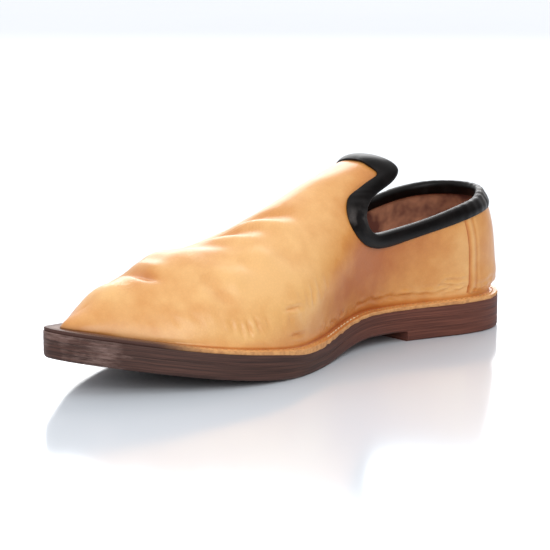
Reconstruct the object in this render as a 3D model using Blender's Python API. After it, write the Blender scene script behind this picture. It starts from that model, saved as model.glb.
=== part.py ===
"""Slip-on leather flat for the right foot, built as its maker builds it.

A one-piece upper is turned outwards at its lower edge and stitched down to a midsole, its collar is
bound with a folded strip, and a leather outsole with a low heel lies under the midsole.

Frame: metres, +Z up, +Y towards the toe, +X towards the wearer's right, which is the outer side of
this foot. The origin is on the floor under the middle of the sole's box. The functions work in
millimetres of the last: station is measured from the back of the heel towards the toe, offset from
the heel-to-toe line towards the outer side, and height from the floor.
"""

import math

import bmesh
import bpy
import numpy as np

MM = 0.001
INNER, OUTER = -1, 1

# Driving sizes, in millimetres.
SOLE_LENGTH = 268.0
GAP = 0.3
MIDSOLE_THICKNESS = 4.5
OUTSOLE_THICKNESS = 6.6
WAIST_THINNING = 1.2
THINNING_END, THINNING_RUN = 185.0, 45.0
HEEL_HEIGHT = 5.0
HEEL_BREAST = 71.0
TOE_SPRING = 16.3
SPRING_START = 157.0
SPRING_POWER = 1.48
WAIST_END, WAIST_RUN = 138.0, 46.0
WALL = 1.8
FLANGE_SIDE, FLANGE_TOE = 4.4, 7.5
WIDENING_START, WIDENING_RUN = 215.0, 50.0
FLANGE_BEND = 2.6
INSOLE_THICKNESS = 2.5
BINDING_LEATHER = 1.1
BINDING_GAP = 0.45
BINDING_REACH = 3.2
SEAM_TOP, SEAM_FOOT = 39.5, 35.0
SEAM_STEP = 0.7

# The sole's edge seen from above: offset and station, from the heel round the inner side to the toe
# and back along the outer side.
OUTLINE = (
    (0.0, 0.0),
    (-15.8, 5.9),
    (-25.8, 20.5),
    (-27.0, 38.0),
    (-22.5, 62.0),
    (-20.5, 86.0),
    (-26.0, 112.0),
    (-38.5, 138.0),
    (-49.0, 164.0),
    (-50.0, 186.0),
    (-43.5, 210.0),
    (-31.8, 233.0),
    (-19.8, 252.5),
    (-11.6, 263.5),
    (-1.5, 268.0),
    (7.4, 262.9),
    (17.8, 251.0),
    (30.8, 234.0),
    (40.0, 212.0),
    (45.5, 182.0),
    (43.0, 154.0),
    (36.0, 124.0),
    (30.5, 92.0),
    (30.5, 60.0),
    (31.5, 34.0),
    (27.0, 15.0),
    (15.5, 3.5),
)

# The last's spine: where its ribs end on top, at each station. Behind the tongue it only gives the
# walls their lean. Fullness 2 makes a rib a quarter ellipse, and more makes it squarer.
SPINE_REAR, SPINE_FRONT = 38.0, 247.0
SPINE = {
    "station": (38.0, 60.0, 80.0, 105.0, 130.0, 160.0, 190.0, 215.0, 235.0, 247.0),
    "offset": (-2.5, -3.5, -5.0, -6.0, -6.0, -6.0, -5.0, -4.0, -3.0, -2.0),
    "height": (92.0, 87.8, 88.6, 84.4, 74.5, 62.8, 55.5, 49.5, 40.5, 35.2),
    "fullness": (2.3, 2.45, 2.6, 2.2, 2.05, 2.0, 1.78, 1.72, 1.85, 2.0),
    "inner_bulge": (5.5, 6.5, 7.0, 9.0, 11.0, 5.0, 0.5, 0.0, 0.0, 0.0),
    "outer_bulge": (5.5, 4.5, 4.5, 3.0, 1.0, 0.0, 0.0, 0.0, 0.0, 0.0),
}

# The collar seen from the side, from the middle of the tongue round the notch and back to the heel:
# the upper's cut edge, and the lower border of the strip that binds it.
COLLAR = {
    "edge_station": (83.1, 81.2, 80.2, 82.8, 92.0, 99.4, 102.6, 100.4, 94.0, 86.0, 75.3, 64.3, 47.3, 28.0),
    "edge_height": (88.4, 86.8, 83.8, 80.9, 76.0, 69.6, 63.4, 57.4, 53.8, 53.5, 54.6, 56.4, 60.7, 64.6),
    "band_station": (91.2, 91.0, 90.4, 93.4, 102.5, 109.6, 111.2, 107.6, 98.8, 87.0, 75.0, 65.0, 48.5, 28.2),
    "band_height": (87.4, 85.8, 83.2, 80.4, 75.4, 70.2, 63.6, 55.6, 49.4, 47.6, 48.8, 51.0, 54.4, 57.2),
}
BACK_EDGE_HEIGHT, BACK_BAND_HEIGHT = 66.2, 59.0
COLLAR_FOOT = 150.0

# Mesh density.
EDGE_POINTS = 1601
COLLAR_POINTS = 1200
HALVINGS = 40
RIDGE_RIBS, COLLAR_RIBS = 18, 32
OUTER_ROWS, INNER_ROWS = 9, 7
BAND_DEPTHS = (0.0, 0.33, 0.67, 1.0)
BAND_MARGIN = 1.25
RIB_BEND = 2.4
FOOT_SWEEP = 0.09
SOLE_STATIONS = 40


def spline(knots, values, at, closed=False):
    """The smooth curve through values at the knots, read at the places asked for."""
    knots, values, at = np.asarray(knots, float), np.asarray(values, float), np.asarray(at, float)
    last = len(knots) - 1
    span = np.diff(knots)
    flat = values.reshape(len(knots), -1)
    slope = np.diff(flat, axis=0) / span[:, None]
    matrix, right = np.eye(len(knots)), np.zeros_like(flat)
    for i in range(1, last):
        matrix[i, i - 1 : i + 2] = span[i - 1], 2 * (span[i - 1] + span[i]), span[i]
        right[i] = 6 * (slope[i] - slope[i - 1])
    if closed:
        matrix[0, [0, 1, last - 1]] = 2 * (span[-1] + span[0]), span[0], span[-1]
        right[0] = 6 * (slope[0] - slope[-1])
        matrix[last, 0] = -1
    bend = np.linalg.solve(matrix, right)
    i = np.clip(np.searchsorted(knots, at, side="right") - 1, 0, last - 1)
    h = span[i][..., None]
    a = (knots[i + 1] - at)[..., None]
    b = (at - knots[i])[..., None]
    curve = (
        bend[i] * a**3 / (6 * h)
        + bend[i + 1] * b**3 / (6 * h)
        + (flat[i] / h - bend[i] * h / 6) * a
        + (flat[i + 1] / h - bend[i + 1] * h / 6) * b
    )
    return curve.reshape(at.shape + values.shape[1:])


def ease(x):
    """0 up to x = 0, 1 from x = 1, and a smooth step between."""
    x = np.clip(x, 0.0, 1.0)
    return x * x * (3 - 2 * x)


def travelled(points):
    """The distance along a line of points, from 0 to its whole length."""
    steps = np.linalg.norm(np.diff(points, axis=0), axis=1)
    return np.concatenate([[0.0], np.cumsum(steps)])


# The sole's heights along the shoe.


def outsole_bottom(station):
    spring = np.clip((station - SPRING_START) / (SOLE_LENGTH - SPRING_START), 0, None)
    waist = HEEL_HEIGHT * ease((WAIST_END - station) / WAIST_RUN)
    return TOE_SPRING * spring**SPRING_POWER + waist


def outsole_top(station):
    thinned = WAIST_THINNING * ease((THINNING_END - station) / THINNING_RUN)
    return outsole_bottom(station) + OUTSOLE_THICKNESS - thinned


def midsole_bottom(station):
    return outsole_top(station) + GAP


def midsole_top(station):
    return midsole_bottom(station) + MIDSOLE_THICKNESS


def flange_bottom(station):
    return midsole_top(station) + GAP


def flange_top(station):
    return flange_bottom(station) + WALL


# The outline and what is inset from it.


def dense_outline():
    """Closely spaced (station, offset) points round the sole's edge, and their outward directions."""
    points = np.array([(s, t) for t, s in OUTLINE + OUTLINE[:1]])
    knots = travelled(points)
    curve = spline(knots, points, np.linspace(0, knots[-1], EDGE_POINTS), closed=True)
    along = np.gradient(curve, axis=0)
    along[0] = along[-1] = curve[1] - curve[-2]
    along /= np.linalg.norm(along, axis=1)[:, None]
    # The curve runs heel, inner side, toe, outer side, so that outwards is to the right of travel.
    return curve, np.stack([along[:, 1], -along[:, 0]], axis=1)


EDGE, EDGE_OUT = dense_outline()


def feather_inset(station):
    """The width of the turned-out flange, which is wider round the toe."""
    widening = ease((station - WIDENING_START) / WIDENING_RUN)
    return FLANGE_SIDE + (FLANGE_TOE - FLANGE_SIDE) * widening


def halves(inset):
    """The inner and the outer half of the outline, moved inwards, each from the heel to the toe."""
    width = inset(EDGE[:, 0]) if callable(inset) else inset
    curve = EDGE - EDGE_OUT * np.reshape(width, (-1, 1))
    toe, heel = int(np.argmax(EDGE[:-1, 0])), int(np.argmin(EDGE[:-1, 0]))
    rolled = np.roll(curve[:-1], -heel, axis=0)
    toe = (toe - heel) % (len(curve) - 1)
    axis = rolled[toe, 1]
    inner, outer = rolled[:toe], np.concatenate([rolled[toe + 1 :], rolled[:1]])[::-1]
    # What a deep inset folds across the toe's axis is left out.
    inner = inner[(inner[:, 1] < axis) | (inner[:, 0] < SOLE_LENGTH / 2)]
    outer = outer[(outer[:, 1] > axis) | (outer[:, 0] < SOLE_LENGTH / 2)]
    tip = np.array([[max(inner[:, 0].max(), outer[:, 0].max()), axis]])
    back = rolled[:1]
    return {INNER: np.concatenate([inner, tip]), OUTER: np.concatenate([back, outer[1:], tip])}


FEATHER = halves(feather_inset)
FEATHER_RUN = {side: travelled(FEATHER[side]) / travelled(FEATHER[side])[-1] for side in FEATHER}


def feather(side, share):
    """Where the wall meets the flange: a share of the way from heel to toe along one side."""
    run, half = FEATHER_RUN[side], FEATHER[side]
    return np.stack([np.interp(share, run, half[:, 0]), np.interp(share, run, half[:, 1])], axis=-1)


def share_at(side, station):
    """The share of the feather line at which it passes a station."""
    return np.interp(station, FEATHER[side][:, 0], FEATHER_RUN[side])


def outward_at(side, share):
    """The level direction out of the shoe at a share of the feather line."""
    step = 2e-3
    share = np.clip(share, 0, 1)
    ahead = feather(side, np.minimum(share + step, 1)) - feather(side, np.maximum(share - step, 0))
    ahead /= np.linalg.norm(ahead, axis=-1)[..., None]
    return np.stack([-side * ahead[..., 1], side * ahead[..., 0]], axis=-1)


# The last: ribs that rise from the feather line to the spine.


def spine_station(side, share):
    low, high = FEATHER[side][0, 0], FEATHER[side][-1, 0]
    along = (feather(side, share)[..., 0] - low) / (high - low)
    return SPINE_REAR + (SPINE_FRONT - SPINE_REAR) * along


def feather_station_for(side, station):
    """The feather station whose rib ends at a station of the spine."""
    low, high = FEATHER[side][0, 0], FEATHER[side][-1, 0]
    return low + (high - low) * (station - SPINE_REAR) / (SPINE_FRONT - SPINE_REAR)


def last_point(side, share, sweep):
    """A point of the last: share runs along the feather line, sweep from the sole up to the spine."""
    share, sweep = np.broadcast_arrays(np.asarray(share, float), np.asarray(sweep, float))
    foot = feather(side, share)
    station = spine_station(side, share)
    column = {
        name: spline(SPINE["station"], SPINE[name], station)
        for name in ("offset", "height", "fullness", "inner_bulge", "outer_bulge")
    }
    bulge = column["inner_bulge"] if side == INNER else column["outer_bulge"]
    power = column["fullness"]
    cosine, sine = np.maximum(np.cos(sweep), 0.0), np.sin(sweep)
    radius = (cosine**power + sine**power) ** (-1 / power)
    across, up = cosine * radius, sine * radius
    out = outward_at(side, share) * (bulge * np.sin(2 * sweep))[..., None]
    low = flange_top(foot[..., 0])
    return np.stack(
        [
            station + (foot[..., 0] - station) * across**2 + out[..., 0],
            column["offset"] + (foot[..., 1] - column["offset"]) * across + out[..., 1],
            low + (column["height"] - low) * up,
        ],
        axis=-1,
    )


def last_normal(side, share, sweep):
    """The direction out of the last at that point."""
    step = 1e-3
    share = np.clip(share, step, 1 - step)
    sweep = np.minimum(sweep, math.pi / 2 - step)
    along = last_point(side, share + step, sweep) - last_point(side, share - step, sweep)
    up = last_point(side, share, sweep + step) - last_point(side, share, sweep - step)
    normal = np.cross(along, up) * -side
    return normal / np.linalg.norm(normal, axis=-1)[..., None]


def on_last(side, station, height):
    """The share and the sweep at which the last has that station and height."""
    station, height = np.asarray(station, float), np.asarray(height, float)

    def sweep_for(share):
        foot = flange_top(feather(side, share)[..., 0])
        spine = spine_station(side, share)
        top = spline(SPINE["station"], SPINE["height"], spine)
        power = spline(SPINE["station"], SPINE["fullness"], spine)
        up = np.clip((height - foot) / (top - foot), 0, 1)
        return np.arctan2(up, np.maximum(1 - up**power, 0) ** (1 / power))

    low, high = np.zeros_like(station), np.ones_like(station)
    for _ in range(HALVINGS):
        middle = (low + high) / 2
        behind = last_point(side, middle, sweep_for(middle))[..., 0] < station
        low = np.where(behind, middle, low)
        high = np.where(behind, high, middle)
    return low, sweep_for(low)


# The lines in which the upper ends on top, and the ribs that reach them.


def collar_curve(side, line, back_height):
    """Shares and sweeps along one line of the collar, closely spaced, from the tongue to the heel."""
    edge = np.column_stack([COLLAR["edge_station"], COLLAR["edge_height"]])
    knots = travelled(edge)
    rows = np.column_stack([COLLAR[line + "_station"], COLLAR[line + "_height"]])
    back = last_point(side, 0.0, on_last(side, -SOLE_LENGTH, back_height)[1])
    knots = np.append(knots, knots[-1] + edge[-1, 0] - back[0])
    rows = np.vstack([rows, [back[0], back_height]])
    fine = spline(knots, rows, np.linspace(0, knots[-1], COLLAR_POINTS))
    share, sweep = on_last(side, fine[:, 0], fine[:, 1])
    share[0], sweep[0] = share_at(side, feather_station_for(side, rows[0, 0])), math.pi / 2
    share[-1] = 0.0
    return share, sweep


def collar_grid(side):
    """Shares and sweeps across the bound band: a row for each rib, and a column for each depth."""
    edge, band = collar_curve(side, "edge", BACK_EDGE_HEIGHT), collar_curve(side, "band", BACK_BAND_HEIGHT)
    line = last_point(side, *edge)
    run = travelled(line)
    at = np.linspace(0, run[-1], COLLAR_RIBS + 1)
    # Two ribs stand close together at the seam of the back panel.
    seam = np.interp(-SEAM_TOP, -line[len(line) // 2 :, 0], run[len(run) // 2 :])
    nearest = int(np.argmin(np.abs(at - seam)))
    at[nearest], at[nearest + 1] = seam - GAP, seam + GAP
    edge = [np.interp(at, run, values) for values in edge]
    band = [np.interp(at, run, values) for values in band]
    depths = np.array([*BAND_DEPTHS, BAND_MARGIN])
    share = edge[0][:, None] + (band[0] - edge[0])[:, None] * depths
    sweep = edge[1][:, None] + (band[1] - edge[1])[:, None] * depths
    feet = np.interp(
        at,
        [0, seam - GAP, seam + GAP, run[-1]],
        [
            share_at(side, COLLAR_FOOT),
            share_at(side, SEAM_FOOT + GAP),
            share_at(side, SEAM_FOOT - GAP),
            0.0,
        ],
    )
    rise = np.where(at > seam, SEAM_STEP, 0.0)
    return share, np.minimum(sweep, math.pi / 2), feet, rise


def surface(side, share, sweep, away):
    """Points at a distance out from the last, or in from it where the distance is negative."""
    return last_point(side, share, sweep) + last_normal(side, share, sweep) * np.reshape(away, (-1, 1))


def upper_section(side, foot, share, sweep, rise):
    """One section of the upper, from its edge down the outside, round the flange and up the inside.

    The share and sweep are those of the rib's points across the band, from the edge down; the rib
    goes on from the last of them to its foot.
    """

    def rib(rows):
        climb = np.linspace(1, 0, rows)
        # A rib rises straight at first and bends to its end above, so that it passes round the notch.
        shares = foot + (share[-1] - foot) * climb**RIB_BEND
        sweeps = FOOT_SWEEP + (sweep[-1] - FOOT_SWEEP) * climb
        return np.concatenate([share[:-1], shares]), np.concatenate([sweep[:-1], sweeps])

    outside = surface(side, *rib(OUTER_ROWS), rise)
    inside = surface(side, *rib(INNER_ROWS), -WALL)[::-1]
    base, out = feather(side, foot), outward_at(side, foot)
    edge = feather_inset(base[0]) - GAP
    flange = (
        (FLANGE_BEND / 3, WALL + 0.7),
        (FLANGE_BEND, WALL),
        (edge, WALL),
        (edge, 0.0),
        (WALL / 3, 0.0),
        (-WALL / 2, WALL / 2),
    )
    beside = [base + out * distance for distance, _ in flange]
    turned = [[*place, flange_bottom(place[0]) + height] for place, (_, height) in zip(beside, flange)]
    return np.concatenate([outside, turned, inside])


def upper_sections(side):
    """All sections of one side, from the toe to the heel."""
    share, sweep, feet, rise = collar_grid(side)
    spine = np.linspace(SPINE_FRONT, last_point(side, share[0, -1], sweep[0, -1])[0], RIDGE_RIBS + 1)
    tops = share_at(side, feather_station_for(side, spine[:-1]))
    ridge_feet = np.linspace(1.0, feet[0], RIDGE_RIBS + 1)
    count = share.shape[1]
    sections = [
        upper_section(side, foot, np.full(count, top), np.full(count, math.pi / 2), 0.0)
        for foot, top in zip(ridge_feet, tops)
    ]
    sections += [upper_section(side, *rib) for rib in zip(feet, share, sweep, rise)]
    return np.array(sections)


def new_object(name, points, faces, material, smooth=True):
    """A mesh object from points in millimetres of the last, with its faces pointing out."""
    centre = (EDGE[:, 1].max() + EDGE[:, 1].min()) / 2
    mesh = bpy.data.meshes.new(name)
    placed = [((t - centre) * MM, (s - SOLE_LENGTH / 2) * MM, z * MM) for s, t, z in points]
    mesh.from_pydata(placed, [], faces)
    body = bmesh.new()
    body.from_mesh(mesh)
    bmesh.ops.remove_doubles(body, verts=body.verts, dist=1e-6)
    bmesh.ops.dissolve_degenerate(body, edges=body.edges, dist=1e-7)
    bmesh.ops.recalc_face_normals(body, faces=body.faces)
    body.to_mesh(mesh)
    body.free()
    if smooth:
        mesh.shade_smooth()
        mesh.set_sharp_from_angle(angle=math.radians(40))
    mesh.materials.append(material)
    obj = bpy.data.objects.new(name, mesh)
    bpy.context.scene.collection.objects.link(obj)
    return obj


def leather(name, colour, roughness):
    """A leather finish: a plain surface of one colour."""
    material = bpy.data.materials.new(name)
    material.use_nodes = True
    shader = material.node_tree.nodes["Principled BSDF"]
    shader.inputs["Base Color"].default_value = (*colour, 1.0)
    shader.inputs["Roughness"].default_value = roughness
    shader.inputs["Metallic"].default_value = 0.0
    return material


def sole_ring(inset, height, front=None):
    """A closed ring round the sole, inset from its edge, with heights that follow the station."""
    inner, outer = (halves(inset)[side] for side in (INNER, OUTER))
    low, high = inner[0, 0], inner[-1, 0] if front is None else front
    turn = np.linspace(0, math.pi if front is None else math.pi / 2, SOLE_STATIONS + 1)
    span = high - low
    stations = low + span * ((1 - np.cos(turn)) / 2 if front is None else 1 - np.cos(turn))
    inside = stations[1 : None if front else -1]
    near, far = [np.column_stack([inside, np.interp(inside, *half.T)]) for half in (inner, outer)]
    toe = [] if front else [inner[-1:]]
    flat = np.concatenate([inner[:1], near, *toe, far[::-1]])
    return np.column_stack([flat, height(flat[:, 0])])


def sole_layer(name, rings, material, front=None):
    """A layer of the sole: its rings from the bottom up, joined, and closed across at both ends."""
    loops = [sole_ring(inset, height, front) for inset, height in rings]
    count = len(loops[0])
    faces = []
    for level in range(len(loops) - 1):
        for i in range(count):
            j = (i + 1) % count
            a, b = level * count, (level + 1) * count
            faces.append((a + i, a + j, b + j, b + i))
    for base in (0, (len(loops) - 1) * count):
        for i in range((count + 1) // 2):
            corners = [i, i + 1, (count - i - 1) % count, (count - i) % count]
            whole = list(dict.fromkeys(base + c for c in corners))
            if len(whole) > 2:
                faces.append(tuple(whole))
    return new_object(name, np.concatenate(loops), faces, material)


def raised(height, by):
    """A height function moved up by a distance."""
    return lambda station: height(station) + by


def make_outsole(material):
    return sole_layer(
        "outsole",
        [
            (1.2, outsole_bottom),
            (0.0, raised(outsole_bottom, 1.4)),
            (0.0, raised(outsole_top, -0.6)),
            (0.5, outsole_top),
        ],
        material,
    )


def make_midsole(material):
    return sole_layer(
        "midsole",
        [
            (0.5, midsole_bottom),
            (0.0, raised(midsole_bottom, 0.6)),
            (0.0, raised(midsole_top, -0.5)),
            (0.4, midsole_top),
        ],
        material,
    )


def make_heel(material):
    level = np.zeros_like
    top = raised(outsole_bottom, -GAP)
    return sole_layer(
        "heel",
        [(0.9, level), (0.0, raised(level, 0.9)), (0.0, raised(top, -0.4)), (1.2, top)],
        material,
        front=HEEL_BREAST,
    )


def make_insole(material):
    def inset(extra):
        return lambda station: feather_inset(station) + WALL + extra

    low = flange_bottom
    return sole_layer(
        "insole",
        [
            (inset(1.4), low),
            (inset(1.0), raised(low, 0.8)),
            (inset(1.0), raised(low, INSOLE_THICKNESS - 0.7)),
            (inset(1.9), raised(low, INSOLE_THICKNESS)),
        ],
        material,
    )


def join_sides(inner, outer, ridge=0, band=0):
    """Makes the two sides meet at the toe or tongue, at the heel and along the ridge on top."""
    for rib in (0, -1):
        inner[rib] = outer[rib] = (inner[rib] + outer[rib]) / 2
    for end in (band, -1 - band):
        inner[:ridge, end] = outer[:ridge, end] = (inner[:ridge, end] + outer[:ridge, end]) / 2
    if ridge:
        for ends in (slice(0, band + 1), slice(-1 - band, None)):
            inner[ridge, ends] = outer[ridge, ends] = (inner[ridge, ends] + outer[ridge, ends]) / 2
    return inner, outer


def skin(name, sides, material, ridge=0, band=0):
    """A body of closed sections strung along each side; those of the ridge are open on top."""
    points, faces = [], []
    for grid in sides:
        start, size = len(points), grid.shape[1]
        points.extend(grid.reshape(-1, 3))
        for rib in range(len(grid) - 1):
            a, b = start + rib * size, start + (rib + 1) * size
            rows = range(band, size - 1 - band) if rib < ridge else range(size)
            for i in rows:
                j = (i + 1) % size
                faces.append((a + i, a + j, b + j, b + i))
    return new_object(name, points, faces, material)


def make_upper(material):
    band = len(BAND_DEPTHS)
    inner, outer = join_sides(upper_sections(INNER), upper_sections(OUTER), RIDGE_RIBS, band)
    # The ridge's sections have no band, so what stands in for it there takes the ridge's place.
    for grid in (inner, outer):
        grid[:RIDGE_RIBS, :band] = grid[:RIDGE_RIBS, band, None]
        grid[:RIDGE_RIBS, -band:] = grid[:RIDGE_RIBS, -1 - band, None]
    return skin("upper", (inner, outer), material, RIDGE_RIBS, band)


def binding_sections(side):
    """Sections of the folded strip: up its outer leg, over the edge and down its inner leg."""
    share, sweep, _, rise = collar_grid(side)
    outer = BINDING_GAP + BINDING_LEATHER
    inner = WALL + BINDING_GAP + BINDING_LEATHER
    edge = surface(side, share[:, 0], sweep[:, 0], 0.0)
    beyond = edge - surface(side, share[:, 1], sweep[:, 1], 0.0)
    beyond /= np.linalg.norm(beyond, axis=1)[:, None]
    normal = last_normal(side, share[:, 0], sweep[:, 0])

    def leg(away, columns):
        lift = rise + away if away > 0 else away
        return [surface(side, share[:, c], sweep[:, c], lift) for c in columns]

    def over(reach, away):
        lift = away + (rise if away > -WALL / 2 else 0.0)
        return edge + beyond * reach + normal * np.reshape(lift, (-1, 1))

    shoulder, crest = 0.4 * BINDING_REACH, 0.8 * BINDING_REACH
    fold = (
        (shoulder, outer - 0.1),
        (crest, outer - 0.8),
        (BINDING_REACH, -WALL / 2 + 0.8),
        (BINDING_REACH, -WALL / 2 - 0.8),
        (crest, 0.8 - inner),
        (shoulder, 0.1 - inner),
    )
    columns = range(len(BAND_DEPTHS))
    hidden = columns[:-1]
    rings = leg(outer, reversed(columns))
    rings += [over(*place) for place in fold]
    rings += leg(-inner, hidden)
    rings += leg(-WALL - BINDING_GAP, reversed(hidden))
    rings += [over(BINDING_GAP, -WALL - BINDING_GAP), over(BINDING_GAP, BINDING_GAP)]
    rings += leg(BINDING_GAP, columns)
    return np.stack(rings, axis=1)


def make_binding(material):
    """The strip folded over the collar's edge: a closed ring of one section."""
    return skin("collar_binding", join_sides(*map(binding_sections, (INNER, OUTER))), material)


def main():
    for obj in list(bpy.data.objects):
        bpy.data.objects.remove(obj)
    tan = leather("tan_upper_leather", (0.78, 0.42, 0.14), 0.5)
    black = leather("black_binding_leather", (0.012, 0.012, 0.014), 0.35)
    brown = leather("brown_sole_leather", (0.09, 0.032, 0.02), 0.5)
    lining = leather("natural_insole_leather", (0.32, 0.13, 0.07), 0.6)
    make_heel(brown)
    make_outsole(brown)
    make_midsole(brown)
    make_insole(lining)
    make_upper(tan)
    make_binding(black)


main()
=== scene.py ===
"""The looks of a leather slip-on flat for the right foot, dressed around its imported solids.

Every size is in millimetres of the last: station is measured from the back of the heel towards the toe,
offset from the heel-to-toe line towards the outer side, and height from the floor. `Last.placed` turns
them into metres of the frame.
"""

import logging
import math
from dataclasses import dataclass, field
from enum import Enum
from functools import cached_property, partial
from typing import Any, Callable, ClassVar, Optional, Sequence

import bmesh
import bpy
import numpy as np
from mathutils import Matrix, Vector


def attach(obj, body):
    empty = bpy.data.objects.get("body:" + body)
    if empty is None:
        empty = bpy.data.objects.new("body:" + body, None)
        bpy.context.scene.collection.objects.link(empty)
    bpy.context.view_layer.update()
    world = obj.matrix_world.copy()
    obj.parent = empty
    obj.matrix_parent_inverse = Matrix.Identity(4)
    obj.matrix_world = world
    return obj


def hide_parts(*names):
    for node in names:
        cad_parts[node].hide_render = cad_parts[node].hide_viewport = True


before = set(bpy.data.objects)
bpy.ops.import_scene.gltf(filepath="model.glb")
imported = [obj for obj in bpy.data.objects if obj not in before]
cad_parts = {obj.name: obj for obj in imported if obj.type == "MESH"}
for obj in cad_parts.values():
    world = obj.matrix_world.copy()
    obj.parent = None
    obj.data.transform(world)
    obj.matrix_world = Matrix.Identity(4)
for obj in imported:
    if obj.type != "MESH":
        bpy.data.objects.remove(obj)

MM = 0.001
SEED = 7
HALVINGS = 32  # how often a search for a place on the last halves its range
GIRTH_MM = 70.0  # about how far it is from the spine to the turned-out edge, over the upper
PATH_STEP = 1.5  # how far apart the points of a crease's path lie
log = logging.getLogger("slip_on_flat")
Array = np.ndarray
Inputs = dict[Any, Any]
NodeMaker = Callable[..., bpy.types.Node]


class Side(Enum):
    """The two sides of the shoe; the number is the sign of an offset on that side."""

    INNER = -1
    OUTER = 1


class Face(Enum):
    """What a strip of faces shows: the order is that of the piece's material slots."""

    GRAIN = 0
    CUT = 1


def spline(knots: Any, values: Any, at: Any, closed: bool = False) -> Array:
    """Reads the smooth curve through values at the knots.

    Args:
        knots: Rising numbers, one for each value.
        values: The values or points that the curve passes through.
        at: The places to read.
        closed: Whether the curve joins up with its own start.

    Returns:
        The values at those places.
    """
    knots, values, at = np.asarray(knots, float), np.asarray(values, float), np.asarray(at, float)
    last = len(knots) - 1
    span = np.diff(knots)
    flat = values.reshape(len(knots), -1)
    slope = np.diff(flat, axis=0) / span[:, None]
    matrix, right = np.eye(len(knots)), np.zeros_like(flat)
    for i in range(1, last):
        matrix[i, i - 1 : i + 2] = span[i - 1], 2 * (span[i - 1] + span[i]), span[i]
        right[i] = 6 * (slope[i] - slope[i - 1])
    if closed:
        matrix[0, [0, 1, last - 1]] = 2 * (span[-1] + span[0]), span[0], span[-1]
        right[0] = 6 * (slope[0] - slope[-1])
        matrix[last, 0] = -1
    bend = np.linalg.solve(matrix, right)
    i = np.clip(np.searchsorted(knots, at, side="right") - 1, 0, last - 1)
    h = span[i][..., None]
    a = (knots[i + 1] - at)[..., None]
    b = (at - knots[i])[..., None]
    curve = (
        bend[i] * a**3 / (6 * h)
        + bend[i + 1] * b**3 / (6 * h)
        + (flat[i] / h - bend[i] * h / 6) * a
        + (flat[i + 1] / h - bend[i + 1] * h / 6) * b
    )
    return curve.reshape(at.shape + values.shape[1:])


def ease(x: Any) -> Array:
    """A smooth step: 0 up to x = 0, and 1 from x = 1."""
    x = np.clip(x, 0.0, 1.0)
    return x * x * (3 - 2 * x)


def ramp(x: Any, start: float, run: float) -> Array:
    """A smooth step that rises from 0 at the start to 1 a run further on, or a run back if it is below 0."""
    return ease((x - start) / run)


def bell(x: Any, middle: float, width: float) -> Array:
    """A smooth hump of height 1 at the middle, gone by about twice the width from there."""
    return np.exp(-(((x - middle) / width) ** 2))


def travelled(points: Array) -> Array:
    """The distance along a line of points, from 0 to its whole length."""
    steps = np.linalg.norm(np.diff(points, axis=0), axis=1)
    return np.concatenate([[0.0], np.cumsum(steps)])


def unit(vectors: Array) -> Array:
    """The same directions with length one."""
    return vectors / np.maximum(np.linalg.norm(vectors, axis=-1, keepdims=True), 1e-9)


def read_along(at: Array, run: Array, values: Array) -> Array:
    """The columns of values, known at the distances in run, read at other distances."""
    return np.column_stack([np.interp(at, run, column) for column in values.T])


# ---------------------------------------------------------------- the form of the shoe


@dataclass(frozen=True)
class SoleProfile:
    """The sole's heights along the shoe: heel, waist, ball and toe spring."""

    length: float = 268.0
    gap: float = 0.3
    midsole: float = 4.5
    outsole: float = 6.6
    waist_thinning: float = 1.2
    thinning_end: float = 185.0
    thinning_run: float = 45.0
    heel_height: float = 5.0
    heel_breast: float = 71.0
    toe_spring: float = 16.3
    spring_start: float = 157.0
    spring_power: float = 1.48
    waist_end: float = 138.0
    waist_run: float = 46.0
    flange: float = 1.8

    def outsole_bottom(self, station: Any) -> Array:
        """The height of the outsole's underside.

        Args:
            station: The stations.

        Returns:
            The heights.
        """
        spring = np.clip((station - self.spring_start) / (self.length - self.spring_start), 0, None)
        waist = self.heel_height * ease((self.waist_end - station) / self.waist_run)
        return self.toe_spring * spring**self.spring_power + waist

    def outsole_top(self, station: Any) -> Array:
        """The height of the outsole's top, which is thinner from the waist to the heel."""
        thinned = self.waist_thinning * ease((self.thinning_end - station) / self.thinning_run)
        return self.outsole_bottom(station) + self.outsole - thinned

    def midsole_bottom(self, station: Any) -> Array:
        """The height of the midsole's underside."""
        return self.outsole_top(station) + self.gap

    def midsole_top(self, station: Any) -> Array:
        """The height of the midsole's top."""
        return self.midsole_bottom(station) + self.midsole

    def flange_bottom(self, station: Any) -> Array:
        """The height of the underside of the upper's turned-out edge."""
        return self.midsole_top(station) + self.gap

    def flange_top(self, station: Any) -> Array:
        """The height of the top of the upper's turned-out edge."""
        return self.flange_bottom(station) + self.flange


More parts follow.
